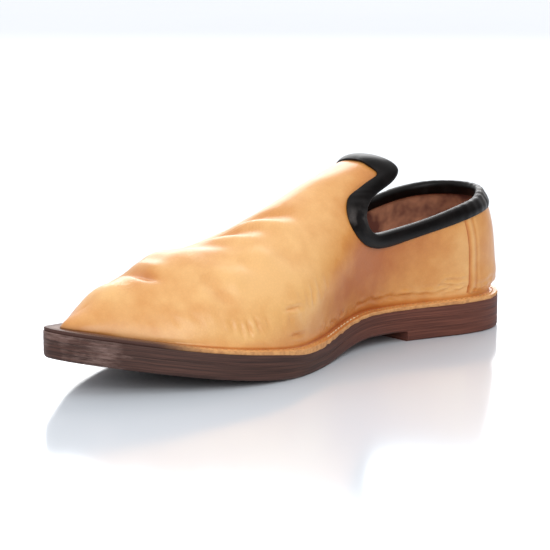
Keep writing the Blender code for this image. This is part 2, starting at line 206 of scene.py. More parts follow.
@dataclass(frozen=True)
class Outline:
    """The sole's edge seen from above, from the heel round the inner side to the toe and back."""

    offset: tuple[float, ...] = (
        0.0, -15.8, -25.8, -27.0, -22.5, -20.5, -26.0, -38.5, -49.0, -50.0, -43.5, -31.8, -19.8, -11.6,
        -1.5, 7.4, 17.8, 30.8, 40.0, 45.5, 43.0, 36.0, 30.5, 30.5, 31.5, 27.0, 15.5,
    )
    station: tuple[float, ...] = (
        0.0, 5.9, 20.5, 38.0, 62.0, 86.0, 112.0, 138.0, 164.0, 186.0, 210.0, 233.0, 252.5, 263.5,
        268.0, 262.9, 251.0, 234.0, 212.0, 182.0, 154.0, 124.0, 92.0, 60.0, 34.0, 15.0, 3.5,
    )
    flange_side: float = 4.4
    flange_toe: float = 7.5
    flare_start: float = 215.0
    flare_run: float = 50.0
    samples: int = 1601

    @cached_property
    def edge(self) -> tuple[Array, Array]:
        """The sole's edge, closely spaced.

        Returns:
            Its (station, offset) points, and the outward direction at each.
        """
        points = np.column_stack([self.station + self.station[:1], self.offset + self.offset[:1]])
        knots = travelled(points)
        curve = spline(knots, points, np.linspace(0, knots[-1], self.samples), closed=True)
        along = np.gradient(curve, axis=0)
        along[0] = along[-1] = curve[1] - curve[-2]
        along = unit(along)
        outward = np.stack([along[:, 1], -along[:, 0]], axis=1)
        if outward[np.argmax(curve[:, 0])][0] < 0:
            outward = -outward
        return curve, outward

    def flange_width(self, station: Any) -> Array:
        """The width of the turned-out edge, which is wider round the toe."""
        flare = ease((station - self.flare_start) / self.flare_run)
        return self.flange_side + (self.flange_toe - self.flange_side) * flare

    def halves(self, inset: Any) -> dict[Side, Array]:
        """The inner and outer half of the outline, moved inwards.

        Args:
            inset: A width, or a function of the station that gives one.

        Returns:
            For each side, its (station, offset) points from the heel to the toe.
        """
        edge, edge_out = self.edge
        width = inset(edge[:, 0]) if callable(inset) else inset
        curve = edge - edge_out * np.reshape(width, (-1, 1))
        toe, heel = int(np.argmax(edge[:-1, 0])), int(np.argmin(edge[:-1, 0]))
        rolled = np.roll(curve[:-1], -heel, axis=0)
        toe = (toe - heel) % (len(curve) - 1)
        axis, middle = rolled[toe, 1], max(self.station) / 2
        inner, outer = rolled[:toe], np.concatenate([rolled[toe + 1 :], rolled[:1]])[::-1]
        inner = inner[(inner[:, 1] < axis) | (inner[:, 0] < middle)]
        outer = outer[(outer[:, 1] > axis) | (outer[:, 0] < middle)]
        tip = np.array([[max(inner[:, 0].max(), outer[:, 0].max()), axis]])
        return {
            Side.INNER: np.concatenate([inner, tip]),
            Side.OUTER: np.concatenate([rolled[:1], outer[1:], tip]),
        }


@dataclass(frozen=True)
class Spine:
    """Where the last's ribs end on top, at each station, and how full they are."""

    station: tuple[float, ...] = (38.0, 60.0, 80.0, 105.0, 130.0, 160.0, 190.0, 215.0, 235.0, 247.0)
    offset: tuple[float, ...] = (-2.5, -3.5, -5.0, -6.0, -6.0, -6.0, -5.0, -4.0, -3.0, -2.0)
    height: tuple[float, ...] = (92.0, 87.8, 88.6, 84.4, 74.5, 62.8, 55.5, 49.5, 40.5, 35.2)
    fullness: tuple[float, ...] = (2.3, 2.45, 2.6, 2.2, 2.05, 2.0, 1.78, 1.72, 1.85, 2.0)
    inner_bulge: tuple[float, ...] = (5.5, 6.5, 7.0, 9.0, 11.0, 5.0, 0.5, 0.0, 0.0, 0.0)
    outer_bulge: tuple[float, ...] = (5.5, 4.5, 4.5, 3.0, 1.0, 0.0, 0.0, 0.0, 0.0, 0.0)

    def read(self, column: str, at: Array) -> Array:
        """The smooth value of one column at some stations."""
        return spline(self.station, getattr(self, column), at)


class Last:
    """The form that the shoe is made on: ribs that rise from the feather line to the spine."""

    def __init__(self, sole: SoleProfile, outline: Outline, spine: Spine) -> None:
        """Works out the feather line, where the wall meets the turned-out edge.

        Args:
            sole: The sole's heights.
            outline: The sole's edge.
            spine: The tops of the ribs.
        """
        self.sole, self.outline, self.spine = sole, outline, spine
        edge = outline.edge[0]
        self.centre = (edge[:, 1].max() + edge[:, 1].min()) / 2
        self.half = outline.halves(outline.flange_width)
        self.run = {side: travelled(line) / travelled(line)[-1] for side, line in self.half.items()}

    def placed(self, points: Array) -> Array:
        """Places points in the frame.

        Args:
            points: Station, offset and height, in millimetres.

        Returns:
            x, y and z, in metres.
        """
        points = np.asarray(points, float)
        x, y, z = points[..., 1] - self.centre, points[..., 0] - self.sole.length / 2, points[..., 2]
        return np.stack([x, y, z], axis=-1) * MM

    def feather(self, side: Side, share: Any) -> Array:
        """(station, offset) at a share of the feather line, from the heel (0) to the toe (1)."""
        run, half = self.run[side], self.half[side]
        return np.stack([np.interp(share, run, column) for column in half.T], axis=-1)

    def share_at(self, side: Side, station: Any) -> Array:
        """The share of the feather line at which it passes a station."""
        return np.interp(station, self.half[side][:, 0], self.run[side])

    def outward(self, side: Side, share: Any) -> Array:
        """The level direction out of the shoe at a share of the feather line.

        Args:
            side: The side of the shoe.
            share: The shares of the feather line.

        Returns:
            Level directions of length one.
        """
        step = 2e-3
        share = np.clip(share, 0, 1)
        toeward, heelward = np.minimum(share + step, 1), np.maximum(share - step, 0)
        ahead = unit(self.feather(side, toeward) - self.feather(side, heelward))
        return np.stack([-side.value * ahead[..., 1], side.value * ahead[..., 0]], axis=-1)

    def spine_station(self, side: Side, share: Any) -> Array:
        """The spine station at which the rib from a share of the feather line ends.

        Args:
            side: The side of the shoe.
            share: The shares of the feather line.

        Returns:
            The stations.
        """
        low, high = self.half[side][0, 0], self.half[side][-1, 0]
        along = (self.feather(side, share)[..., 0] - low) / (high - low)
        return self.spine.station[0] + (self.spine.station[-1] - self.spine.station[0]) * along

    def share_for_spine(self, side: Side, station: Any) -> Array:
        """The share of the feather line whose rib ends at a station of the spine.

        Args:
            side: The side of the shoe.
            station: The stations of the spine.

        Returns:
            The shares.
        """
        low, high = self.half[side][0, 0], self.half[side][-1, 0]
        first, final = self.spine.station[0], self.spine.station[-1]
        return self.share_at(side, low + (high - low) * (station - first) / (final - first))

    def point(self, side: Side, share: Any, sweep: Any) -> Array:
        """A point of the last.

        Args:
            side: The side of the shoe.
            share: The place along the feather line, from 0 at the heel to 1 at the toe.
            sweep: The angle round the rib, from 0 at the feather line to a right angle on the spine.

        Returns:
            Station, offset and height.
        """
        share, sweep = np.broadcast_arrays(np.asarray(share, float), np.asarray(sweep, float))
        foot = self.feather(side, share)
        station = self.spine_station(side, share)
        bulge = self.spine.read("inner_bulge" if side is Side.INNER else "outer_bulge", station)
        offset, height = self.spine.read("offset", station), self.spine.read("height", station)
        power = self.spine.read("fullness", station)
        cosine, sine = np.maximum(np.cos(sweep), 0.0), np.sin(sweep)
        radius = (cosine**power + sine**power) ** (-1 / power)
        across, up = cosine * radius, sine * radius
        out = self.outward(side, share) * (bulge * np.sin(2 * sweep))[..., None]
        low = self.sole.flange_top(foot[..., 0])
        return np.stack(
            [
                station + (foot[..., 0] - station) * across**2 + out[..., 0],
                offset + (foot[..., 1] - offset) * across + out[..., 1],
                low + (height - low) * up,
            ],
            axis=-1,
        )

    def normal(self, side: Side, share: Any, sweep: Any) -> Array:
        """The direction out of the last at that point.

        Args:
            side: The side of the shoe.
            share: The points' shares of the feather line.
            sweep: Their sweeps.

        Returns:
            Directions of length one.
        """
        step = 1e-3
        share = np.clip(share, step, 1 - step)
        sweep = np.minimum(sweep, math.pi / 2 - step)
        along = self.point(side, share + step, sweep) - self.point(side, share - step, sweep)
        up = self.point(side, share, sweep + step) - self.point(side, share, sweep - step)
        return unit(np.cross(along, up) * -side.value)

    def share_for_station(self, side: Side, station: Array, sweep: Callable[[Array], Array]) -> Array:
        """The share at which the last reaches a station, by halving.

        Args:
            side: The side of the shoe.
            station: The stations wanted.
            sweep: Gives the sweep at a share.

        Returns:
            The shares.
        """
        low, high = np.zeros_like(station), np.ones_like(station)
        for _ in range(HALVINGS):
            middle = (low + high) / 2
            behind = self.point(side, middle, sweep(middle))[..., 0] < station
            low = np.where(behind, middle, low)
            high = np.where(behind, high, middle)
        return low

    def at_height(self, side: Side, station: Any, height: Any) -> tuple[Array, Array]:
        """The share and the sweep at which the last has that station and height.

        Args:
            side: The side of the shoe.
            station: The stations wanted.
            height: The heights wanted.

        Returns:
            The shares and the sweeps.
        """
        station, height = np.asarray(station, float), np.asarray(height, float)

        def sweep_for(share: Array) -> Array:
            """The sweep that has the wanted height on the rib of a share.

            Args:
                share: The shares of the feather line.

            Returns:
                The sweeps.
            """
            foot = self.sole.flange_top(self.feather(side, share)[..., 0])
            spine = self.spine_station(side, share)
            power = self.spine.read("fullness", spine)
            up = np.clip((height - foot) / (self.spine.read("height", spine) - foot), 0, 1)
            return np.arctan2(up, np.maximum(1 - up**power, 0) ** (1 / power))

        share = self.share_for_station(side, station, sweep_for)
        return share, sweep_for(share)


@dataclass(frozen=True)
class CollarLine:
    """One line of the collar seen from the side, from the tongue round the notch to the heel."""

    station: tuple[float, ...]
    height: tuple[float, ...]
    back_height: float


@dataclass(frozen=True)
class Collar:
    """The upper's cut edge on top, and the lower border of the strip that binds it."""

    edge: CollarLine = CollarLine(
        (83.1, 80.6, 78.7, 80.6, 88.8, 99.6, 102.6, 100.4, 94.0, 86.0, 75.3, 64.3, 47.3, 28.0),
        (88.4, 86.8, 83.8, 80.9, 76.0, 69.6, 63.4, 57.4, 53.8, 53.5, 54.6, 56.4, 60.7, 64.6),
        66.2,
    )
    band: CollarLine = CollarLine(
        (91.2, 90.4, 88.4, 92.6, 102.5, 111.4, 113.3, 109.4, 98.8, 87.0, 75.0, 65.0, 48.5, 28.2),
        (87.4, 85.6, 82.6, 80.4, 76.5, 71.1, 63.8, 55.8, 49.4, 48.0, 49.5, 51.4, 54.9, 58.8),
        60.4,
    )
    foot: float = 150.0
    seam_top: float = 41.0
    seam_foot: float = 34.3
    ribs: int = 200
    samples: int = 1200

    def line(self, last: Last, side: Side, which: CollarLine) -> tuple[Array, Array]:
        """Lays one line of the collar on the last, closely spaced, from the tongue to the heel.

        Args:
            last: The form.
            side: The side of the shoe.
            which: The line.

        Returns:
            Its shares and sweeps.
        """
        edge = np.column_stack([self.edge.station, self.edge.height])
        knots = travelled(edge)
        rows = np.column_stack([which.station, which.height])
        behind = np.array(-last.sole.length)
        back = last.point(side, 0.0, last.at_height(side, behind, which.back_height)[1])
        knots = np.append(knots, knots[-1] + edge[-1, 0] - back[0])
        rows = np.vstack([rows, [back[0], which.back_height]])
        fine = spline(knots, rows, np.linspace(0, knots[-1], self.samples))
        share, sweep = last.at_height(side, fine[:, 0], fine[:, 1])
        share[0], sweep[0] = last.share_for_spine(side, rows[0, 0]), math.pi / 2
        share[-1] = 0.0
        return share, sweep

    def grid(self, last: Last, side: Side, depths: Array, ribs: Optional[int] = None) -> tuple[Array, ...]:
        """The ribs that reach the collar, read across the bound band.

        Args:
            last: The form.
            side: The side of the shoe.
            depths: Places across the band: 0 on the cut edge and 1 on the strip's lower border.
            ribs: How many steps there are from the tongue to the heel.

        Returns:
            Shares and sweeps with a row for each rib, the ribs' feet, and how far each lies behind
            the back strap's front edge (negative in front of it).
        """
        edge, band = (self.line(last, side, which) for which in (self.edge, self.band))
        line = last.point(side, *edge)
        run = travelled(line)
        at = np.linspace(0, run[-1], (ribs or self.ribs) + 1)
        seam = np.interp(-self.seam_top, -line[len(line) // 2 :, 0], run[len(run) // 2 :])
        share, sweep = (
            np.interp(at, run, top)[:, None] + (np.interp(at, run, low) - np.interp(at, run, top))[:, None] * depths
            for top, low in zip(edge, band)
        )
        ends = [last.share_at(side, self.foot), last.share_at(side, self.seam_foot), 0.0]
        feet = np.interp(at, [0, seam, run[-1]], ends)
        return share, np.minimum(sweep, math.pi / 2), feet, at - seam


# ---------------------------------------------------------------- creases in the worn leather


@dataclass(frozen=True)
class Crease:
    """A fold of the worn leather: a soft trough, and the swellings that it pushes up beside it.

    The path holds (station, girth) places. Girth is -1 at the turned-out edge of the inner side, 0 on
    the spine, and 1 at the turned-out edge of the outer side.

    Attributes:
        path: The places it runs through.
        depth: How deep it is, or how high it stands where it is below 0.
        width: How wide the trough is, to each side of its middle.
        fore: The height of the swelling on the heel side, in a path that runs from outer to inner.
        aft: The height of the swelling on the toe side of such a path.
        fade: The share of the path's length over which it fades out at each end.
        shoulder: Where the swellings stand and how wide they are, in the trough's own widths.
        reach: How many of its widths away a crease is still felt.
    """

    path: tuple[tuple[float, float], ...]
    depth: float
    width: float
    fore: float = 0.0
    aft: float = 0.0
    fade: float = 0.3
    shoulder: ClassVar[tuple[float, float]] = (1.9, 1.2)
    reach: ClassVar[float] = 4.5

    def laid(self, last: Last) -> tuple[Array, Array, Array, Array]:
        """Lays the path on the last.

        Args:
            last: The form.

        Returns:
            Its points, its directions, the outward directions and its strengths.
        """
        chart = np.array(self.path, float)
        knots = travelled(chart * (1.0, GIRTH_MM))
        fine = spline(knots, chart, np.linspace(0, knots[-1], max(8, int(knots[-1] / PATH_STEP))))
        points, normals = np.zeros((len(fine), 3)), np.zeros((len(fine), 3))
        for side in Side:
            mine = (fine[:, 1] >= 0) == (side is Side.OUTER)
            if mine.any():
                sweep = (1 - np.abs(fine[mine, 1])) * math.pi / 2
                share = last.share_for_station(side, fine[mine, 0], lambda _, sweep=sweep: sweep)
                points[mine] = last.point(side, share, sweep)
                normals[mine] = last.normal(side, share, sweep)
        along = np.linspace(0, 1, len(fine))
        strength = ease(along / self.fade) * ease((1 - along) / self.fade)
        return points, unit(np.gradient(points, axis=0)), normals, strength

    def lift(self, laid: tuple[Array, Array, Array, Array], points: Array) -> Array:
        """How far the crease, once laid, moves each point along the outward direction.

        Args:
            laid: What `laid` returned.
            points: The points, in millimetres.

        Returns:
            Distances, below 0 in the trough.
        """
        path, along, normals, strength = laid
        reach = self.reach * self.width
        low, high = path.min(axis=0) - reach, path.max(axis=0) + reach
        near = np.flatnonzero(((points > low) & (points < high)).all(axis=1))
        moved = np.zeros(len(points))
        if not len(near):
            return moved
        apart = points[near][:, None, :] - path
        distance = np.linalg.norm(apart, axis=2)
        closest = distance.argmin(axis=1)
        rows = np.arange(len(near))
        across = unit(np.cross(along, normals))[closest]
        side = np.sign((apart[rows, closest] * across).sum(axis=1))
        # Between two points of the path the crease is as near as beside them.
        slip = np.minimum(np.abs((apart[rows, closest] * along[closest]).sum(axis=1)), 0.6 * PATH_STEP)
        x = np.sqrt(distance[rows, closest] ** 2 - slip**2) * side / self.width
        middle, wide = self.shoulder
        shape = self.fore * bell(x, middle, wide) + self.aft * bell(x, -middle, wide) - self.depth * bell(x, 0, 1)
        moved[near] = shape * strength[closest]
        return moved


@dataclass(frozen=True)
class LightShadePatch:
    """A soft patch of painted light (above 0) or painted shade (below 0) on the upper's colour."""

    station: float
    girth: float
    reach: float
    spread: float
    amount: float

    def at(self, station: Array, girth: Array) -> Array:
        """How strong the patch is at some places."""
        away = ((station - self.station) / self.reach) ** 2 + ((girth - self.girth) / self.spread) ** 2
        return self.amount * np.exp(-away)


PAINTED_LIGHT_AND_SHADE = (
    # Painted light: a sheen where the vamp faces the light, and paler towards the toe, ball, instep and heel.
    LightShadePatch(165.0, -0.48, 42.0, 0.38, 1.15),
    LightShadePatch(225.0, -0.55, 32.0, 0.45, 0.45),
    LightShadePatch(200.0, -0.92, 34.0, 0.14, 0.5),
    LightShadePatch(114.0, -0.1, 24.0, 0.35, 0.45),
    # Painted shade on top of the swelling behind the toe break.
    LightShadePatch(197.0, 0.0, 15.0, 0.3, -0.2),
    LightShadePatch(32.0, -0.8, 28.0, 0.35, 0.6),
    LightShadePatch(48.0, -1.0, 40.0, 0.1, 0.5),
    # Painted shade in the hollow of the waist, under the collar's notch and along the quarter.
    LightShadePatch(97.0, -0.78, 15.0, 0.28, -1.0),
    LightShadePatch(121.0, -0.78, 14.0, 0.22, -0.8),
    LightShadePatch(92.0, -0.5, 26.0, 0.2, -0.8),
    LightShadePatch(66.0, -0.62, 22.0, 0.3, -0.5),
)


def wrinkles(stations: Sequence[float], top: float, foot: float, lean: float, depth: float,
             width: float) -> list[Crease]:
    """A row of fine upright wrinkles.

    Args:
        stations: Where each begins on top.
        top: The girth at which they begin.
        foot: The girth at which they end.
        lean: How far back each runs on its way down, in millimetres.
        depth: How deep they are.
        width: How wide they are.

    Returns:
        The creases.
    """
    random = np.random.default_rng(SEED)
    made = []
    for station in stations:
        start, end = top + random.uniform(-0.06, 0.03), foot + random.uniform(-0.03, 0.06)
        begin, shift = station + random.uniform(-0.9, 0.9), random.uniform(-1.2, 1.2)
        path = ((begin, start), (begin - lean / 2 + shift, (start + end) / 2), (begin - lean + shift / 2, end))
        deep = depth * random.uniform(0.6, 1.1)
        made.append(Crease(path, deep, width * random.uniform(0.85, 1.3), 0.3 * deep, 0.3 * deep, 0.45))
    return made


def worn_creases() -> list[Crease]:
    """The creases that walking has put into the upper, the deepest where the toes bend.

    Returns:
        The creases.
    """
    toe_break = ((216, 0.42), (217, 0.27), (217.8, 0.1), (217.8, -0.05), (216.3, -0.18), (212.5, -0.34))
    return [
        # The break over the toes, and the swelling behind it.
        Crease(toe_break, 2.5, 3.4, 0.8, 0.2, 0.4),
        Crease(((200, 0.5), (200, 0.25), (199, 0.05), (196, -0.15), (191, -0.32)), -2.8, 10.5, fade=0.4),
        # The fullness over the toes.
        Crease(((233, 0.55), (235.5, 0.3), (235, 0.05), (230.5, -0.18), (224, -0.34)), -3.0, 11.0, fade=0.35),
        # The folds over the vamp, each a step up towards the tongue.
        Crease(((191, 0.25), (188, 0.12), (184, 0.0), (178, -0.1), (171, -0.18)), 0.45, 3.4, 0.0, 0.2, 0.45),
        Crease(((175, 0.3), (171, 0.15), (165, 0.0), (158.5, -0.1), (151, -0.2)), 1.7, 4.2, 0.0, 1.7, 0.5),
        Crease(((158, 0.3), (153, 0.15), (148, 0.0), (142, -0.11), (134, -0.24)), 1.5, 3.8, 0.0, 1.6, 0.5),
        # Soft troughs that run down from them over the ball of the foot.
        Crease(((201, -0.33), (197, -0.42), (194.5, -0.54), (192.5, -0.68)), 1.5, 4.2, 0.3, 0.6, 0.4),
        Crease(((180, -0.26), (176, -0.36), (172, -0.48)), 0.9, 4.0, 0.2, 0.4, 0.45),
        Crease(((192, -0.34), (187, -0.44), (183, -0.55)), -0.7, 5.5, fade=0.5),
        Crease(((172, -0.25), (167, -0.34), (163, -0.44)), -0.8, 5.0, fade=0.45),
        Crease(((160, -0.3), (156, -0.42), (154, -0.56)), 0.5, 5.0, 0.1, 0.2, 0.45),
        # Short sharp creases low on the inner side.
        Crease(((171, -0.75), (162, -0.752), (153, -0.765)), 1.1, 1.0, 0.3, 0.5, 0.45),
        Crease(((168, -0.915), (159, -0.925), (150, -0.93)), 1.0, 1.0, 0.3, 0.4, 0.45),
        *wrinkles(np.arange(179.0, 199.0, 2.3), -0.74, -0.93, 2.0, 0.65, 1.0),
        *wrinkles(np.arange(137.0, 158.0, 2.6), -0.6, -0.8, 1.5, 0.4, 1.1),
        *wrinkles(np.arange(202.0, 230.0, 3.9), -0.64, -0.86, 2.0, 0.14, 1.6),
        *wrinkles(np.arange(150.0, 178.0, 3.6), -0.7, -0.88, 2.0, 0.2, 1.4),
        # The leather gathers low on the heel, just above its turned-out edge.
        Crease(((55, -0.955), (49, -0.93), (43, -0.94), (36, -0.925)), 0.5, 0.8, 0.3, 0.3, 0.3),
        Crease(((53, -0.935), (47, -0.91), (41, -0.915), (34, -0.905)), 0.45, 0.8, 0.3, 0.3, 0.3),
        Crease(((52, -0.972), (45, -0.95), (39, -0.96), (33, -0.945)), 0.5, 0.8, 0.3, 0.3, 0.3),
        Crease(((78, -0.965), (70, -0.955), (62, -0.965), (55, -0.96)), 0.35, 0.9, 0.2, 0.2, 0.35),
        Crease(((33, -0.93), (26, -0.945), (18, -0.925), (11, -0.94)), 0.5, 0.9, 0.2, 0.3, 0.35),
        # The outer side, creased less.
        Crease(((216, 0.45), (209, 0.55), (203, 0.66)), 0.8, 3.6, 0.3, 0.3, 0.4),
        Crease(((190, 0.35), (184, 0.46), (180, 0.6)), 0.7, 4.0, 0.3, 0.3, 0.4),
        *wrinkles(np.arange(176.0, 196.0, 3.1), 0.77, 0.92, 2.0, 0.3, 1.0),
    ]


class CreasedLast(Last):
    """The last as it looks through worn leather: its surface with every crease in it.

    Attributes:
        heel_roll: The height of the low roll round the heel.
        roll_rise: The roll's middle, above the turned-out edge, and its width.
        roll_run: The ramp in station over which it fades in towards the heel.
        gather_rises: The ramps in height above the edge over which the gathers start and end.
        gather_run: The ramp in station over which they fade in towards the heel.
    """

    heel_roll: ClassVar[float] = 1.3
    roll_rise: ClassVar[tuple[float, float]] = (8.0, 6.0)
    roll_run: ClassVar[tuple[float, float]] = (48.0, -36.0)
    gather_rises: ClassVar[tuple[tuple[float, float], ...]] = ((0.4, 1.6), (4.0, 6.0))
    gather_run: ClassVar[tuple[float, float]] = (150.0, -30.0)

    def __init__(self, sole: SoleProfile, outline: Outline, spine: Spine, creases: Sequence[Crease]) -> None:
        """Lays the creases on the last.

        Args:
            sole: The sole's heights.
            outline: The sole's edge.
            spine: The tops of the ribs.
            creases: The creases, in any order.
        """
        super().__init__(sole, outline, spine)
        self.creases = [(crease, crease.laid(self)) for crease in creases]
        random = np.random.default_rng(SEED)
        # The leather is never quite smooth: broad swellings all over, and small gathers low down.
        self.swellings = self.waves(random, 7, (20.0, 38.0), 0.24, 1.0)
        self.gathers = self.waves(random, 9, (4.5, 9.0), 0.34, 2.2)

    @staticmethod
    def waves(random: np.random.Generator, count: int, lengths: tuple[float, float], height: float,
              level: float) -> tuple[Array, Array, float]:
        """Waves that add up to an uneven skin.

        Args:
            random: Where their courses are drawn from.
            count: How many there are.
            lengths: The shortest and the longest.
            height: How high they stand together.
            level: How much they lie level, 1 being in any direction.

        Returns:
            Their courses, phases and height.
        """
        ways = unit(random.normal(size=(count, 3)) * (0.8, 0.8, level))
        spans = random.uniform(*lengths, size=(count, 1))
        return 2 * math.pi * ways / spans, random.uniform(0, 2 * math.pi, size=count), height / math.sqrt(count / 2)

    @staticmethod
    def swell(points: Array, waves: tuple[Array, Array, float]) -> Array:
        """How high the waves stand at some points."""
        courses, phases, height = waves
        return height * np.sin(points @ courses.T + phases).sum(axis=1)

    def lift(self, points: Array) -> Array:
        """How far the creases together move each point along the outward direction.

        Args:
            points: The points, in millimetres.

        Returns:
            Distances.
        """
        flat = points.reshape(-1, 3)
        moved = np.zeros(len(flat))
        for crease, laid in self.creases:
            moved += crease.lift(laid, flat)
        # The leather sags into a low roll round the heel, just above its turned-out edge.
        station, rise = flat[:, 0], flat[:, 2] - self.sole.flange_top(flat[:, 0])
        moved += self.heel_roll * bell(rise, *self.roll_rise) * ramp(station, *self.roll_run)
        start, end = self.gather_rises
        low = ramp(rise, *start) * (1 - ramp(rise, *end)) * ramp(station, *self.gather_run)
        moved += self.swell(flat, self.swellings) + low * self.swell(flat, self.gathers)
        return moved.reshape(points.shape[:-1])


# ---------------------------------------------------------------- meshes


@dataclass
class Sheet:
    """Points in rows strung along the shoe, with what each strip of faces between two columns shows.

    Attributes:
        points: (ribs, columns, 3) in millimetres of the last.
        strips: The face kind of each strip, from a column to the next.
        paint: Numbers on the points that the finishes read, by name.
        open_columns: For the first ribs, how many columns at each end have no faces.
        open_ribs: How many ribs those are.
    """

    points: Array
    strips: list[Face]
    paint: dict[str, Array]
    open_columns: int = 0
    open_ribs: int = 0

    def faces(self, start: int) -> tuple[list[tuple[int, ...]], list[int]]:
        """Joins the points.

        Args:
            start: The number of the sheet's first point.

        Returns:
            The corners of each face, and its material's number.
        """
        ribs, columns = self.points.shape[:2]
        corners, kinds = [], []
        for rib in range(ribs - 1):
            a, b = start + rib * columns, start + (rib + 1) * columns
            skip = self.open_columns if rib < self.open_ribs else 0
            for i in range(skip, len(self.strips) - skip):
                j = (i + 1) % columns
                corners.append((a + i, a + j, b + j, b + i))
                kinds.append(self.strips[i].value)
        return corners, kinds


def new_object(points: Array, faces: Sequence[Sequence[int]], name: str, paint: dict[str, Array],
               finishes: Sequence[bpy.types.Material], kinds: Optional[Sequence[int]] = None) -> bpy.types.Object:
    """Makes a smooth mesh object with its faces pointing out.

    Args:
        points: The points, in metres of the frame.
        faces: The faces' corners.
        name: The object's name.
        paint: Numbers or vectors on the points that the finishes read, by name.
        finishes: The materials.
        kinds: The number of each face's material, where there is more than one.

    Returns:
        The object, linked to the scene.
    """
    mesh = bpy.data.meshes.new(name)
    mesh.from_pydata(points.tolist(), [], faces)
    if kinds is not None:
        mesh.polygons.foreach_set("material_index", kinds)
    for key, values in paint.items():
        number = values.size == len(points)
        layer = mesh.attributes.new(key, "FLOAT" if number else "FLOAT_VECTOR", "POINT")
        layer.data.foreach_set("value" if number else "vector", values.ravel())
    body = bmesh.new()
    body.from_mesh(mesh)
    bmesh.ops.delete(body, geom=[v for v in body.verts if not v.link_faces], context="VERTS")
    bmesh.ops.recalc_face_normals(body, faces=body.faces)
    body.to_mesh(mesh)
    body.free()
    for finish in finishes:
        mesh.materials.append(finish)
    mesh.shade_smooth()
    obj = bpy.data.objects.new(name, mesh)
    bpy.context.scene.collection.objects.link(obj)
    return obj


def make_piece(last: Last, name: str, sheets: Sequence[Sheet], finishes: Sequence[bpy.types.Material],
               caps: Sequence[Sequence[int]] = (), sharp: float = 50.0) -> bpy.types.Object:
    """Builds one closed mesh from sheets whose shared points are welded.

    Args:
        last: The form, which places the points in the frame.
        name: The piece's name.
        sheets: The sheets of points.
        finishes: The materials, in the order of Face.
        caps: More faces, by the numbers of the points.
        sharp: The angle between faces, in degrees, above which an edge stays sharp.

    Returns:
        The object, linked to the scene.
    """
    grids = [sheet.points.reshape(-1, 3) for sheet in sheets]
    corners, kinds, start = [], [], 0
    for sheet, grid in zip(sheets, grids):
        more, numbers = sheet.faces(start)
        corners += more
        kinds += numbers
        start += len(grid)
    corners += [tuple(cap) for cap in caps]
    kinds += [Face.GRAIN.value] * len(caps)
    points = np.concatenate(grids)
    # Points in the same place become one, and faces that lose a side to that become triangles or go.
    _, first, same = np.unique(np.round(points, 4), axis=0, return_index=True, return_inverse=True)
    same = same.ravel()
    kept, kept_kinds = [], []
    for face, kind in zip(corners, kinds):
        ring = list(dict.fromkeys(int(same[i]) for i in face))
        if len(ring) > 2:
            kept.append(ring)
            kept_kinds.append(kind)
    paint = {
        key: np.concatenate([sheet.paint[key].reshape(len(grid), -1) for sheet, grid in zip(sheets, grids)])[first]
        for key in sheets[0].paint
    }
    piece = new_object(last.placed(points[first]), kept, name, paint, finishes, kept_kinds)
    piece.data.set_sharp_from_angle(angle=math.radians(sharp))
    return piece


def settle(piece: bpy.types.Object, slot: str, *nodes: str) -> None:
    """Makes a piece ride on the shoe, and lets it stand for CAD nodes.

    Args:
        piece: The piece.
        slot: Not used.
        nodes: The CAD nodes that it stands for.
    """
    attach(piece, "root")
    if nodes:
        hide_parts(*nodes)
    log.info("%s: %d faces", piece.name, len(piece.data.polygons))


def weld_sides(inner: Array, outer: Array, ridge: int = 0, band: int = 0,
               ends: Sequence[int] = (0, -1)) -> None:
    """Makes the two sides meet at their ends and along the ridge, by moving their points in place.

    Args:
        inner: The inner side's points.
        outer: The outer side's points.
        ridge: How many of the first ribs end on the spine.
        band: The column at which they end there, and from the far end too.
        ends: The ribs at which the sides meet.
    """
    for rib in ends:
        inner[rib] = outer[rib] = (inner[rib] + outer[rib]) / 2
    for column in (band, -1 - band):
        middle = (inner[:ridge, column] + outer[:ridge, column]) / 2
        inner[:ridge, column] = outer[:ridge, column] = middle
    if ridge:
        for bound in (slice(0, band + 1), slice(-1 - band, None)):
            inner[ridge, bound] = outer[ridge, bound] = (inner[ridge, bound] + outer[ridge, bound]) / 2
        for grid in (inner, outer):
            grid[:ridge, :band] = grid[:ridge, band, None]
            grid[:ridge, -band:] = grid[:ridge, -1 - band, None]


# ---------------------------------------------------------------- finishes


def linear(colour: str) -> tuple[float, float, float, float]:
    """An sRGB hex colour as the linear values that a shader takes."""
    channels = [int(colour[i : i + 2], 16) / 255 for i in (1, 3, 5)]
    return (*[c / 12.92 if c <= 0.04045 else ((c + 0.055) / 1.055) ** 2.4 for c in channels], 1.0)


def set_inputs(tree: bpy.types.NodeTree, node: bpy.types.Node, inputs: Inputs) -> None:
    """Sets a node's inputs.

    Args:
        tree: The node tree.
        node: The node.
        inputs: By input name or number, a constant or the socket to link from.
    """
    for key, value in inputs.items():
        if isinstance(value, bpy.types.NodeSocket):
            tree.links.new(value, node.inputs[key])
        else:
            node.inputs[key].default_value = value


def add_node(tree: bpy.types.NodeTree, kind: str, inputs: Optional[Inputs] = None,
             **settings: Any) -> bpy.types.Node:
    """Adds one node.

    Args:
        tree: The node tree.
        kind: The node's type, without the word ShaderNode.
        inputs: By input name or number, a constant or the socket to link from.
        settings: The node's own settings; `stops` are the places and colours of a ramp.

    Returns:
        The node.
    """
    node = tree.nodes.new("ShaderNode" + kind)
    for place, (position, colour) in enumerate(settings.pop("stops", ())):
        ramp = node.color_ramp.elements
        element = ramp[place] if place < len(ramp) else ramp.new(position)
        element.position, element.color = position, linear(colour)
    for key, value in settings.items():
        setattr(node, key, value)
    set_inputs(tree, node, inputs or {})
    return node


